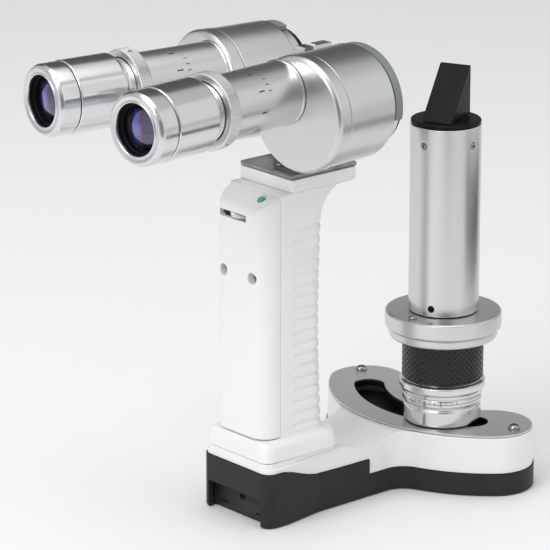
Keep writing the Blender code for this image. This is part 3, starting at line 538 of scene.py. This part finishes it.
def make_grip():
    rings = [grip_section(31.8, 22.3, -37.3, 9.1, 5.0, 6.0), grip_section(32.0, 22.55, -37.55, 9.35, 5.0, 6.0)]
    rings.append(grip_section(36.6, 22.25, -37.3, 9.0, 5.0, 6.4))
    for k in range(1, 9):
        turn = PI / 2 * k / 8
        inset = 3.0 * (1 - math.cos(turn))
        rings.append(grip_section(36.6 + 4.2 * math.sin(turn), 22.25 - inset, -37.3 + inset * 0.3,
                                  9.0 - inset * 0.9, 5.0, 6.4 + inset * 0.6))
    rings.append(grip_section(41.15, 18.75, -36.5, 6.0, 5.0, 8.6))
    rings.append(grip_section(41.5, GRIP_HALF, GRIP_REAR, 5.7, 1.0, 9.0))
    height = 43.0
    last = RIB_FIRST + 17.5 * RIB_PITCH
    while height < last:
        phase = (height - RIB_FIRST + RIB_PITCH / 2) / RIB_PITCH % 1.0
        groove = RIB_DEPTH * max(0.0, 1.0 - (abs(phase - 0.5) / 0.26) ** 1.6) if height > 43.2 else 0.0
        rings.append(grip_section(height, GRIP_HALF, GRIP_REAR, grip_front(height), 1.0, 9.0, groove))
        height += RIB_PITCH / 14
    for height in (145.5, 147.5, 149.5, 151.5, 153.0, 154.5, 156.0, 157.3, 158.4, 159.2):
        corner = 9.0 - 7.0 * max(0.0, (height - 147.0) / 12.2)
        rings.append(grip_section(height, GRIP_HALF, GRIP_REAR, grip_front(height), 1.0, corner))
    rings.append(grip_section(159.5, GRIP_HALF, -25.0, grip_front(159.5), 1.0, 2.0))
    rings.append(grip_section(159.75, GRIP_HALF, -18.9, 20.9, 1.2, 2.0))
    for k in range(5):
        turn = PI / 2 * k / 4
        inset = 0.8 * (1 - math.sin(turn))
        rings.append(grip_section(160.6 - 0.8 * math.cos(turn), 18.7 - inset, -19.0 + inset, 22.0 - inset, 1.4, 2.2))
    for k in range(5):
        turn = PI / 2 * k / 4
        inset = 0.6 * (1 - math.cos(turn))
        rings.append(grip_section(165.4 + 0.6 * math.sin(turn), 18.7 - inset, -19.0 + inset, 22.0 - inset, 1.4, 2.2))
    grip = loft("grip", rings)
    bay = [(15.5, -30.0), (15.5, -6.5), (9.0, 0.4), (-9.0, 0.4), (-15.5, -6.5), (-15.5, -30.0)]
    combine(grip, prism("cut_bay", bay, 46.0, 155.0))
    combine(grip, box("cut_foot", (-16.0, -32.5, 20.0), (16.0, 2.0, 38.0)))
    for side in (-1.0, 1.0):
        combine(grip, rod("cut_spot", 2.8, 150.0, 160.2, at(side * HEAD_BOLT[0], HEAD_BOLT[1], 0.0)))
        combine(grip, rod("cut_thread", 1.4, 12.0, 40.0, at(side * COVER_HOLE[0], 0.0, COVER_HOLE[1], BACK)))
    piece(grip, "base", WHITE, "white_plastic", "grip_body", sharp=50.0)

    slope, join_y = 0.6355, -25.5

    def outline(inset):
        side = arc(9.3, -27.2, 9.0 - inset, 0.0, 90.0, 20)
        side += [(18.3 - inset, -26.2), (18.3 - inset, join_y + min(inset, 0.2) * 0.3)]
        return side + [(-x, y) for x, y in reversed(side)]

    rings = []
    for k in range(6):
        turn = PI / 2 * k / 5
        rings.append(level(outline(0.5 * (1 - math.sin(turn))), 42.3 - 0.5 * math.cos(turn)))
    rings.append([(x, y, 120.0) for x, y in outline(0.0)])
    for k in range(10):
        turn = PI / 2 * k / 9
        inset = 2.4 * (1 - math.cos(turn))
        rings.append([(x, y, 159.0 + slope * (y - join_y) - 2.4 * (1 - math.sin(turn)))
                      for x, y in outline(inset)])
    cover = loft("cover", rings)
    hollow = arc(8.9, -26.8, 7.2, 0.0, 90.0, 8) + [(16.1, -10.0)]
    combine(cover, prism("cut_cover", hollow + [(-x, y) for x, y in reversed(hollow)], 44.0, 150.2))
    for side, label in ((1.0, "right"), (-1.0, "left")):
        where = at(side * COVER_HOLE[0], 0.0, COVER_HOLE[1], BACK)
        combine(cover, rod("add_boss", 3.8, 25.7, 34.3, where), "UNION")
        combine(cover, rod("cut_bore", 1.5, 20.0, 50.0, where))
        sink = [(0.0, 50.0), (3.1, 50.0), (3.1, 36.3), (2.8, 35.9), (2.8, 32.0), (0.0, 32.0)]
        combine(cover, turned("cut_sink", sink, 40, where=where, size=0.01))
        piece(cross_screw("cover_bolt_" + label, 2.4, 1.2,
                          at(side * COVER_HOLE[0], -32.2, COVER_HOLE[1], BACK @ Matrix.Rotation(0.4 * side, 3, "Z"))),
              "base", SCREW, "steel_plate", "cover_screw_" + label)
    combine(cover, box("cut_wheel", (-13.5, -50.0, 146.4), (6.5, -30.0, 149.8)))
    combine(cover, rod("cut_led", 2.3, 140.0, 180.0, at(*LED_AT, 0.0)))
    bevel(cover, 0.16, 2, 40.0)
    piece(cover, "base", WHITE, "white_plastic", "rear_cover", sharp=40.0)
    piece(turned("led", [(0.0, 158.0), (0.9, 157.9), (1.5, 157.6), (1.85, 157.1), (2.0, 156.4), (2.0, 151.2),
                         (0.0, 151.2)], 48, where=at(*LED_AT, 0.0)),
          "base", GREEN, "green_lens", "indicator_led")

    def teeth(radius, height, angle):
        return radius - (0.45 * abs(math.sin(angle * 27)) if radius > 8.0 else 0.0)

    wheel = turned("dimmer_wheel", [(8.6, 1.2), (9.0, 0.85), (9.0, -0.85), (8.6, -1.2), (1.9, -1.2), (1.9, 1.2)],
                   324, ring=True, where=at(-1.0, -27.4, 148.1), shape=teeth, size=0.1)
    piece(wheel, "brightness_wheel_body", KNURLED, "steel_plate", "brightness_wheel")

    plate = loft("top_plate", [
        [(x * (18.3 - i), 1.65 + y * (20.05 - i), z) for x, y in ((-1, -1), (1, -1), (1, 1), (-1, 1))]
        for i, z in ((0.25, 166.3), (0.0, 166.5), (0.0, 168.0), (0.4, 168.4))
    ])
    combine(plate, rod("cut_plate", 1.3, 150.0, 180.0, at(0.0, -10.0, 0.0)))
    bevel(plate, 0.08, 2, 60.0)
    piece(plate, "base", DARK_STEEL, "dark_steel", "head_plate")
    piece(cross_screw("top_plate_bolt", 1.9, 0.8, at(0.0, -10.0, 168.5, Matrix.Rotation(0.35, 3, "Z"))),
          "base", SCREW, "polished_chrome", "head_plate_screw")
    flip = Matrix.Rotation(PI, 3, "X")
    for side, label in ((1.0, "right"), (-1.0, "left")):
        piece(cross_screw("head_bolt_" + label, 2.4, 1.6, at(side * HEAD_BOLT[0], HEAD_BOLT[1], 159.9, flip)),
              "base", DARK_STEEL, "dark_steel", "under_head_screw_" + label)


# ---------------------------------------------------------------- binoculars


def drum_axis(side):
    turn = math.radians(5.59 * side)
    along = Vector((-math.sin(turn), math.cos(turn), 0.0))
    across = Vector((math.cos(turn), math.sin(turn), 0.0))
    down = Vector((0.0, 0.0, -1.0))
    origin = Vector((side * 42.44, -122.1, 202.0))
    drum = Matrix.LocRotScale(origin * MM, Matrix((across, down, along)).transposed(), None)
    return drum, drum @ Matrix.Translation(Vector((-side * 8.8, -9.2, 0.0)) * MM)


def marks(name, where, radius, rows):
    """Thin marks let into a turned surface: (height, angle, length along, width round), all in mm and degrees."""
    points, faces = [], []
    for height, angle, length, width in rows:
        half = width / radius / 2
        start = len(points)
        columns = 5
        for reach in (radius - 0.08, radius + 0.02):
            for z in (height - length / 2, height + length / 2):
                for k in range(columns):
                    a = math.radians(angle) - half + 2 * half * k / (columns - 1)
                    points.append((reach * math.cos(a), reach * math.sin(a), z))
        low_a, low_b, high_a, high_b = (start + columns * k for k in range(4))
        for k in range(columns - 1):
            faces.append((low_a + k, low_b + k, low_b + k + 1, low_a + k + 1))
            faces.append((high_a + k, high_a + k + 1, high_b + k + 1, high_b + k))
            faces.append((low_a + k, low_a + k + 1, high_a + k + 1, high_a + k))
            faces.append((low_b + k + 1, low_b + k, high_b + k, high_b + k + 1))
        end = columns - 1
        faces.append((low_a, high_a, high_b, low_b))
        faces.append((low_a + end, low_b + end, high_b + end, high_a + end))
    return from_rows(name, points, faces, where)


def make_drum(side):
    label = "right" if side > 0 else "left"
    drum, tube = drum_axis(side)
    body, focus, eye = "drum_" + label, "diopter_" + label, "eyepiece_" + label
    housing = turned("housing_" + label, [
        (20.0, 138.6), (20.0, 132.4), (24.6, 132.0), (26.0, 131.9), (26.9, 131.0), (26.9, 101.8), (24.7, 101.8),
        (24.7, 129.6), (15.0, 129.6), (15.0, 138.6),
    ], 160, ring=True, where=drum, size=0.3)
    piece(housing, body, SATIN, "satin_aluminium", "drum_housing_" + label)
    cap = turned("drum_face_" + label, [
        (0.0, 95.8), (24.3, 95.8), (24.3, 101.5), (26.9, 101.5), (27.3, 101.1), (27.3, 95.5), (27.0, 94.6),
        (26.2, 93.6), (25.6, 93.25), (25.2, 93.2), (0.0, 93.2),
    ], 160, where=drum, size=0.2)
    combine(cap, rod("cut_window", 12.6, 80.0, 100.0, tube, 96))
    piece(cap, body, SATIN, "satin_aluminium", "drum_cap_" + label)
    lens = turned("front_lens_" + label, [
        (0.0, 137.6), (4.0, 137.45), (8.0, 136.9), (12.0, 136.0), (14.6, 135.2), (14.6, 133.6), (7.0, 132.4),
        (0.0, 132.0),
    ], 96, where=drum)
    piece(lens, body, LENS, "lens_glass", "objective_lens_" + label)
    cell = turned("front_cell_" + label, [
        (20.6, 141.4), (22.2, 140.9), (22.6, 140.4), (22.6, 139.0), (14.2, 139.0), (14.2, 139.8), (15.2, 140.2),
        (15.6, 141.0), (16.2, 141.4),
    ], 120, ring=True, where=drum, size=0.2)
    piece(cell, body, BLACK, "black_metal", "objective_cell_" + label)
    barrel = turned("tube_" + label, [
        (15.4, 92.9), (15.4, 92.1), (14.9, 91.5), (14.9, 50.2), (14.5, 49.9), (14.0, 49.9), (14.0, 48.6),
        (13.2, 48.6), (13.2, 92.9),
    ], 144, ring=True, where=tube, size=0.15)
    piece(barrel, body, SATIN, "satin_aluminium", "eyepiece_tube_" + label)

    def knurl(radius, height, angle):
        return radius - (0.36 * (0.5 + 0.5 * math.cos(angle * 110)) if radius > 17.45 else 0.0)

    knurled = turned("focus_ring_" + label, [
        (16.9, 49.6), (17.4, 49.45), (17.8, 49.1), (17.8, 43.3), (17.4, 42.95), (16.9, 42.8), (14.4, 42.8),
        (14.4, 49.6),
    ], 660, ring=True, where=tube, shape=knurl, size=0.05)
    piece(knurled, focus, KNURLED, "satin_aluminium", "diopter_ring_" + label)
    grub_turn = Matrix.Rotation(math.radians(50.0 if side > 0 else -80.0), 4, "Z")
    grub = turned("grub_screw_" + label, [
        (0.0, -0.6), (0.6, -0.6), (0.6, 0.08), (0.95, 0.1), (1.0, 0.0), (1.0, -0.8), (0.0, -0.8)
    ], 24, where=tube @ at(0.0, 0.0, 46.2) @ grub_turn @ at(17.72, 0.0, 0.0, Matrix.Rotation(PI / 2, 3, "Y")),
        size=0.05)
    piece(grub, focus, BLACK, "black_metal")

    eyepiece = turned("eyepiece_" + label, [
        (12.9, 58.0), (12.9, 45.6), (14.0, 45.6), (14.0, 41.4), (13.6, 41.2), (13.6, 40.6), (14.0, 40.4),
        (14.0, 38.6), (15.2, 38.2), (15.6, 37.6), (16.4, 37.2), (16.9, 36.7), (17.2, 35.8), (17.2, 12.0),
        (16.8, 11.4), (11.6, 11.4), (11.6, 58.0),
    ], 144, ring=True, where=tube, size=0.12)
    piece(eyepiece, eye, CHROME, "polished_chrome", "eyepiece_barrel_" + label)
    rim = turned("eye_cap_" + label, [
        (16.4, 11.1), (16.85, 10.8), (16.9, 10.3), (16.9, 3.0), (16.75, 2.0), (16.0, 0.7), (15.5, 0.25),
        (14.9, 0.1), (14.0, 0.35), (13.2, 0.5), (13.0, 0.45), (12.8, 0.05), (12.35, 0.0), (12.0, 0.3),
        (11.8, 1.0), (11.8, 11.1),
    ], 144, ring=True, where=tube, size=0.12)
    piece(rim, eye, CHROME, "polished_chrome", "eyepiece_cap_" + label)
    baffle = turned("eye_baffle_" + label, [
        (11.75, 10.8), (11.75, 1.3), (11.6, 1.15), (11.45, 1.3), (11.4, 3.2), (10.9, 3.4), (10.85, 6.0),
        (10.4, 6.2), (10.4, 10.8),
    ], 96, ring=True, where=tube, size=0.06)
    piece(baffle, eye, BLACK, "black_metal")
    glass = turned("eye_glass_" + label, [
        (0.0, 10.4), (10.3, 10.4), (10.3, 6.3), (9.0, 5.2), (7.0, 4.1), (5.0, 3.35), (2.5, 2.95), (0.0, 2.8),
    ], 96, where=tube)
    piece(glass, eye, LENS, "lens_glass", "eye_lens_" + label)

    rows = [(67.0, angle, 3.4, 0.7) for angle in (-68.0, -30.0, 8.0, 46.0)]
    rows += [(72.0, angle, 2.0, 0.45) for angle in (-52.0, -40.0, -28.0)]
    fine = [(71.5, angle, 1.2, 0.35) for angle in (-84.0, -76.0, -68.0, -60.0)]
    piece(marks("scale_marks_" + label, tube, 14.9, rows), body, INK, "black_metal")
    piece(marks("green_marks_" + label, tube, 14.9, fine), body, GREEN_INK, "green_lens")


def make_bridge():
    low = 168.7
    rear = box("bracket_rear", (-13.5, -2.5, low), (13.5, 8.0, NECK_LOW))
    spacer = box("bracket_shim", (-16.5, 8.3, low), (16.5, 9.3, NECK_LOW))
    bridge = box("bridge", (-12.0, 9.6, low + 2.0), (12.0, 19.6, NECK_LOW))
    for target, half, back, front, top in (
            (rear, 3.0, 2.7, 8.0, 222.9), (spacer, 3.4, 8.3, 9.3, 223.4), (bridge, 3.0, 9.6, 19.6, 222.9)):
        combine(target, box("add_neck", (-half, back, NECK_LOW - 1.0), (half, front, top)), "UNION")
    combine(bridge, box("add_foot", (-17.5, 9.9, low), (17.5, 20.6, 183.0)), "UNION")
    for side in (1.0, -1.0):
        drum = drum_axis(side)[0]
        for target in (rear, spacer, bridge):
            combine(target, rod("cut_clear", 27.6, 85.0, 140.0 if target is rear else 132.4, drum, 160))
        combine(spacer, rod("cut_spacer", 26.8, 120.0, 139.0, drum, 128))
        combine(bridge, rod("cut_cell", 24.6, 137.6, 160.0, drum, 128))
    for side in (1.0, -1.0):
        drum = drum_axis(side)[0]
        collar = turned("add_collar", [
            (22.8, 138.4), (23.5, 138.1), (23.8, 137.4), (23.8, 132.9), (20.3, 132.9), (20.3, 138.4),
        ], 160, ring=True, where=drum, size=0.15)
        combine(bridge, rod("cut_bore", 20.9, 120.0, 139.0, drum, 160))
        combine(bridge, collar, "UNION")
        first, last = (-15.0, 102.0) if side > 0.0 else (-102.0, 15.0)
        band = arc(0.0, 0.0, 26.4, first, last, 90) + arc(0.0, 0.0, 23.9, last, first, 90)
        band = bevel(prism("drum_band_" + ("right" if side > 0.0 else "left"), band, 132.4, 137.0, drum), 0.25, 2)
        piece(band, "base", BAND, "dark_steel")
    for made in (rear, spacer, bridge):
        bevel(made, 0.3, 2, 50.0)
    piece(rear, "base", DARK_STEEL, "dark_steel", "rear_bracket")
    piece(spacer, "base", WHITE, "white_plastic", "bracket_spacer")
    piece(bridge, "base", SATIN, "satin_aluminium", "front_bridge")


# ---------------------------------------------------------------- lamp

COLUMN = at(0.0, EYE_Y, 0.0, Matrix.Rotation(math.radians(SWING_REST), 3, "Z")) @ at(0.0, -SWING_R, 0.0)


def digits(name, text, size, radius, angle, height, where):
    """Generic dial figures wrapped on the collar, standing 0.05 mm proud."""
    curve = bpy.data.curves.new(name, "FONT")
    curve.body = text
    curve.size = size * MM
    curve.extrude = 0.00006
    curve.align_x = "CENTER"
    curve.align_y = "CENTER"
    made = link(name, curve)
    bpy.context.view_layer.update()
    mesh = bpy.data.meshes.new_from_object(made.evaluated_get(bpy.context.evaluated_depsgraph_get()))
    bpy.data.objects.remove(made, do_unlink=True)
    for vertex in mesh.vertices:
        x, y, z = vertex.co / MM
        turn = math.radians(angle - 90.0) + x / radius
        reach = radius + z - 0.02
        vertex.co = Vector((reach * math.cos(turn), reach * math.sin(turn), height + y)) * MM
    return link(name, mesh, where)


def socket_screw(name, angle, height, look, slot):
    turn = Matrix.Rotation(math.radians(angle - 90.0), 4, "Z")
    where = COLUMN @ turn @ at(17.0, 0.0, height, Matrix.Rotation(PI / 2, 3, "Y"))
    made = turned(name, [(0.0, 0.30), (1.1, 0.28), (1.45, 0.1), (1.5, -0.3), (1.5, -1.5), (0.0, -1.5)], 36,
                  where=where, size=0.12)
    six = [(0.72 * math.cos(PI / 3 * k), 0.72 * math.sin(PI / 3 * k)) for k in range(6)]
    combine(made, prism("cut_hex", six, -0.9, 2.0, where))
    return piece(made, "lamp", look, slot, name)


def make_lamp():
    collar = turned("collar", [
        (16.0, 77.3), (16.0, 52.2), (19.0, 52.2), (19.2, 51.9), (20.6, 51.2), (20.9, 50.8), (20.9, 48.2),
        (20.6, 47.7), (19.6, 47.0), (19.45, 46.4), (19.45, 45.4), (19.1, 45.1), (19.1, 44.6), (19.35, 44.2),
        (19.35, 41.6), (18.9, 41.2), (18.3, 40.2), (18.35, 39.6), (18.9, 38.8), (19.0, 38.2), (18.9, 31.9),
        (18.3, 30.9), (2.6, 30.9), (2.6, 34.0), (13.3, 34.0), (13.3, 77.3),
    ], 192, ring=True, where=COLUMN, size=0.3)
    for angle in (-48.0, 112.0, 200.0):
        turn = COLUMN @ Matrix.Rotation(math.radians(angle), 4, "Z")
        combine(collar, box("cut_notch", (-3.4, -24.0, 48.0), (3.4, -19.9, 51.0), turn))
    piece(collar, "lamp", CHROME, "polished_chrome", "lamp_collar", sharp=40.0)
    rows = []
    for k in range(44):
        if not 12 <= k <= 16:
            rows.append((43.0, -150.0 + 3.6 * k, 0.28, 1.22))
    for k in range(9):
        rows.append((44.0 if k % 2 else 43.7, -110.0 + 8.0 * k, 0.9 if k % 2 else 1.5, 0.28))
    piece(marks("collar_marks", COLUMN, COLLAR_R, rows), "lamp", INK, "black_metal")
    for k, text in enumerate(("5", "0", "5")):
        piece(digits("collar_figure_%d" % k, text, 3.0, COLLAR_R, -3.0 + 24.0 * (k - 1), 43.0, COLUMN), "lamp", INK,
              "black_metal", sharp=20.0)

    def diamonds(radius, height, angle):
        if radius < 19.45 or not 53.4 < height < 71.7:
            return radius
        u = angle * 40 / (2 * PI) * 2
        v = (height - 53.4) / 18.3 * 13
        first, second = abs((u + v) % 2.0 - 1.0), abs((u - v) % 2.0 - 1.0)
        return radius - 0.35 * max(1.0 - first, 1.0 - second, 0.0) ** 1.3

    profile = [(19.3, 72.6), (19.8, 72.1), (19.8, 71.8)]
    profile += [(19.8, 71.7 - 18.3 * k / 78) for k in range(79)]
    profile += [(19.8, 53.0), (19.3, 52.5), (16.4, 52.5), (16.4, 72.6)]
    sleeve = turned("slit_sleeve", profile, 528, ring=True, where=COLUMN, shape=diamonds, size=0.1)
    piece(sleeve, "slit_control", BLACK_KNURL, "black_metal", "slit_ring", sharp=60.0)
    selector = turned("selector", [
        (25.6, 77.6), (26.3, 76.9), (26.3, 74.0), (25.7, 73.2), (25.2, 73.0), (16.4, 73.0), (16.4, 77.6),
    ], 192, ring=True, where=COLUMN, size=0.25)
    piece(selector, "filter_control", SATIN, "satin_aluminium", "filter_ring")
    disk = turned("disk", [
        (27.5, 86.0), (28.2, 85.3), (28.2, 78.6), (27.6, 77.9), (13.3, 77.9), (13.3, 86.0),
    ], 224, ring=True, where=COLUMN, size=0.2)
    spot = (22.6 * math.sin(math.radians(-18.0)), -22.6 * math.cos(math.radians(-18.0)))
    combine(disk, rod("cut_disk", 1.4, 80.0, 95.0, COLUMN @ at(*spot, 0.0)))
    piece(disk, "lamp", SATIN, "satin_aluminium", "lamp_disk")
    bolt_turn = Matrix.Rotation(math.radians(50.0), 3, "Z")
    bolt = cross_screw("disk_bolt", 2.1, 1.4, COLUMN @ at(*spot, 86.1, bolt_turn), False)
    piece(bolt, "lamp", SCREW, "polished_chrome", "disk_screw")
    tube = turned("lamp_tube", [
        (16.6, 178.9), (17.0, 178.5), (17.0, 86.7), (16.6, 86.3), (15.2, 86.3), (15.2, 178.9),
    ], 192, ring=True, where=COLUMN, size=0.15)
    for angle, height in ((-15.0, 170.4), (72.0, 170.4), (2.0, 90.4)):
        turn = COLUMN @ Matrix.Rotation(math.radians(angle), 4, "Z") @ at(0.0, 0.0, height, BACK)
        combine(tube, rod("cut_screw", 1.75, 10.0, 20.0, turn, 36))
    piece(tube, "lamp", SATIN, "satin_aluminium", "light_tube")
    socket_screw("tube_screw_left", -15.0, 170.4, SCREW, "steel_plate")
    socket_screw("tube_screw_right", 72.0, 170.4, SCREW, "steel_plate")
    socket_screw("tube_screw_low", 2.0, 90.4, BLACK, "black_metal")
    cap = turned("cap_ring", [(16.4, 181.0), (16.9, 180.5), (16.9, 179.6), (16.5, 179.2), (8.0, 179.2), (8.0, 181.0)],
                 160, ring=True, where=COLUMN, size=0.2)
    piece(cap, "lamp", BLACK, "black_metal", "tube_cap")
    head = side_prism("head", [(-12.0, 181.3), (11.6, 181.3), (11.6, 205.0), (10.0, 205.0)], 7.6, COLUMN)
    combine(head, side_prism("cut_head", [(-7.6, 170.0), (20.0, 170.0), (20.0, 201.6), (9.4, 201.6), (-7.6, 183.2)],
                             6.2, COLUMN))
    bevel(head, 0.35, 3, 30.0)
    piece(head, "lamp", BLACK, "black_metal", "prism_head")


# ---------------------------------------------------------------- kept CAD nodes

KEPT = {
    "porro_prism_right": GLASS, "porro_prism_left": GLASS, "circuit_board": BOARD, "battery_cell": CELL,
    "battery_contact": BRASS, "charging_jack": BLACK, "lamp_led": SATIN, "condenser_lens": GLASS,
    "projection_lens": GLASS, "lamp_carriage": BLACK, "mirror_prism": GLASS,
}

make_base()
make_grip()
make_drum(1.0)
make_drum(-1.0)
make_bridge()
make_lamp()
for node, look in KEPT.items():
    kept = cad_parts[node]
    for material_slot in kept.material_slots:
        material_slot.material = look

# ---------------------------------------------------------------- studio

CAMERA_AT = Vector((1.2190, -1.0629, 0.6107))
AZIMUTH, ELEVATION = math.radians(49.26), math.radians(17.12)
MIDDLE = Vector((0.0, 0.02, 0.11))
TOWARDS = Vector((math.sin(AZIMUTH), -math.cos(AZIMUTH), 0.0))
RIGHT = Vector((math.cos(AZIMUTH), math.sin(AZIMUTH), 0.0))


def flat(name, corners, look):
    mesh = bpy.data.meshes.new(name)
    mesh.from_pydata(corners, [], [(0, 1, 2, 3)])
    made = link(name, mesh)
    made.data.materials.append(look)
    return made


def glow(name, level):
    made = bpy.data.materials.new(name)
    made.use_nodes = True
    tree = made.node_tree
    tree.nodes.clear()
    light = chain(tree, "ShaderNodeEmission", Color=(level, level, level, 1.0), Strength=1.0)
    out = tree.nodes.new("ShaderNodeOutputMaterial")
    tree.links.new(light.outputs[0], out.inputs[0])
    return made


def card(name, angle, distance, width, low, high, level):
    """An upright reflection card, seen only in reflections. Angle from the camera's side, positive to its right."""
    turn = math.radians(angle)
    out = TOWARDS * math.cos(turn) + RIGHT * math.sin(turn)
    side = out.cross(Vector((0.0, 0.0, 1.0)))
    centre = Vector((MIDDLE.x, MIDDLE.y, 0.0)) + out * distance
    corners = [centre + side * (width / 2 * s) + Vector((0.0, 0.0, z))
               for s, z in ((-1, low), (1, low), (1, high), (-1, high))]
    made = flat(name, corners, glow(name + "_glow", level))
    made.visible_camera = False
    made.visible_diffuse = False
    made.visible_shadow = False
    made.visible_transmission = False
    return made


def softbox(name, position, size, power):
    lamp = bpy.data.lights.new(name, "AREA")
    lamp.shape = "RECTANGLE"
    lamp.size, lamp.size_y = size
    lamp.energy = power
    made = bpy.data.objects.new(name, lamp)
    bpy.context.scene.collection.objects.link(made)
    made.location = position
    made.rotation_mode = "QUATERNION"
    made.rotation_quaternion = (MIDDLE - Vector(position)).to_track_quat("-Z", "Y")
    made.visible_camera = False
    return made


def make_studio():
    floor_look = surface("pale_floor", (0.86, 0.86, 0.86), (0.85, 0.85, 0.85), rough=(0.7, 0.8), patches=4.0,
                         grain=60.0, bump=0.02)
    flat("floor", [(-6.0, -6.0, -0.0004), (6.0, -6.0, -0.0004), (6.0, 6.0, -0.0004), (-6.0, 6.0, -0.0004)],
         floor_look)
    world = bpy.data.worlds.new("studio")
    bpy.context.scene.world = world
    world.use_nodes = True
    background = world.node_tree.nodes["Background"]
    background.inputs["Color"].default_value = (0.86, 0.865, 0.87, 1.0)
    background.inputs["Strength"].default_value = 0.72
    softbox("key", MIDDLE + TOWARDS * 0.9 - RIGHT * 0.8 + Vector((0, 0, 1.1)), (1.0, 0.8), 12.0)
    softbox("fill", MIDDLE + TOWARDS * 0.6 + RIGHT * 1.1 + Vector((0, 0, 0.8)), (1.0, 1.0), 1.5)
    softbox("top", MIDDLE + Vector((0, 0, 1.5)), (1.4, 1.4), 7.0)
    card("card_back", 180.0, 0.55, 1.1, 0.28, 0.95, 0.10)
    card("card_low", 100.0, 0.40, 0.45, 0.0, 0.07, 0.06)
    card("card_right", 86.0, 0.62, 0.7, 0.2, 0.8, 0.85)
    card("card_left", -50.0, 0.6, 0.45, 0.0, 0.6, 0.85)
    card("card_front", 8.0, 0.75, 0.4, 0.0, 0.55, 0.22)

    lens = bpy.data.cameras.new("camera")
    lens.sensor_width = 36.0
    lens.lens = 234.36
    lens.clip_start, lens.clip_end = 0.05, 50.0
    made = bpy.data.objects.new("camera", lens)
    bpy.context.scene.collection.objects.link(made)
    forward = Vector((-math.sin(AZIMUTH) * math.cos(ELEVATION), math.cos(AZIMUTH) * math.cos(ELEVATION),
                      -math.sin(ELEVATION)))
    made.location = CAMERA_AT
    made.rotation_mode = "QUATERNION"
    made.rotation_quaternion = forward.to_track_quat("-Z", "Y")
    bpy.context.scene.camera = made
    bpy.context.scene.view_settings.view_transform = "Standard"


make_studio()
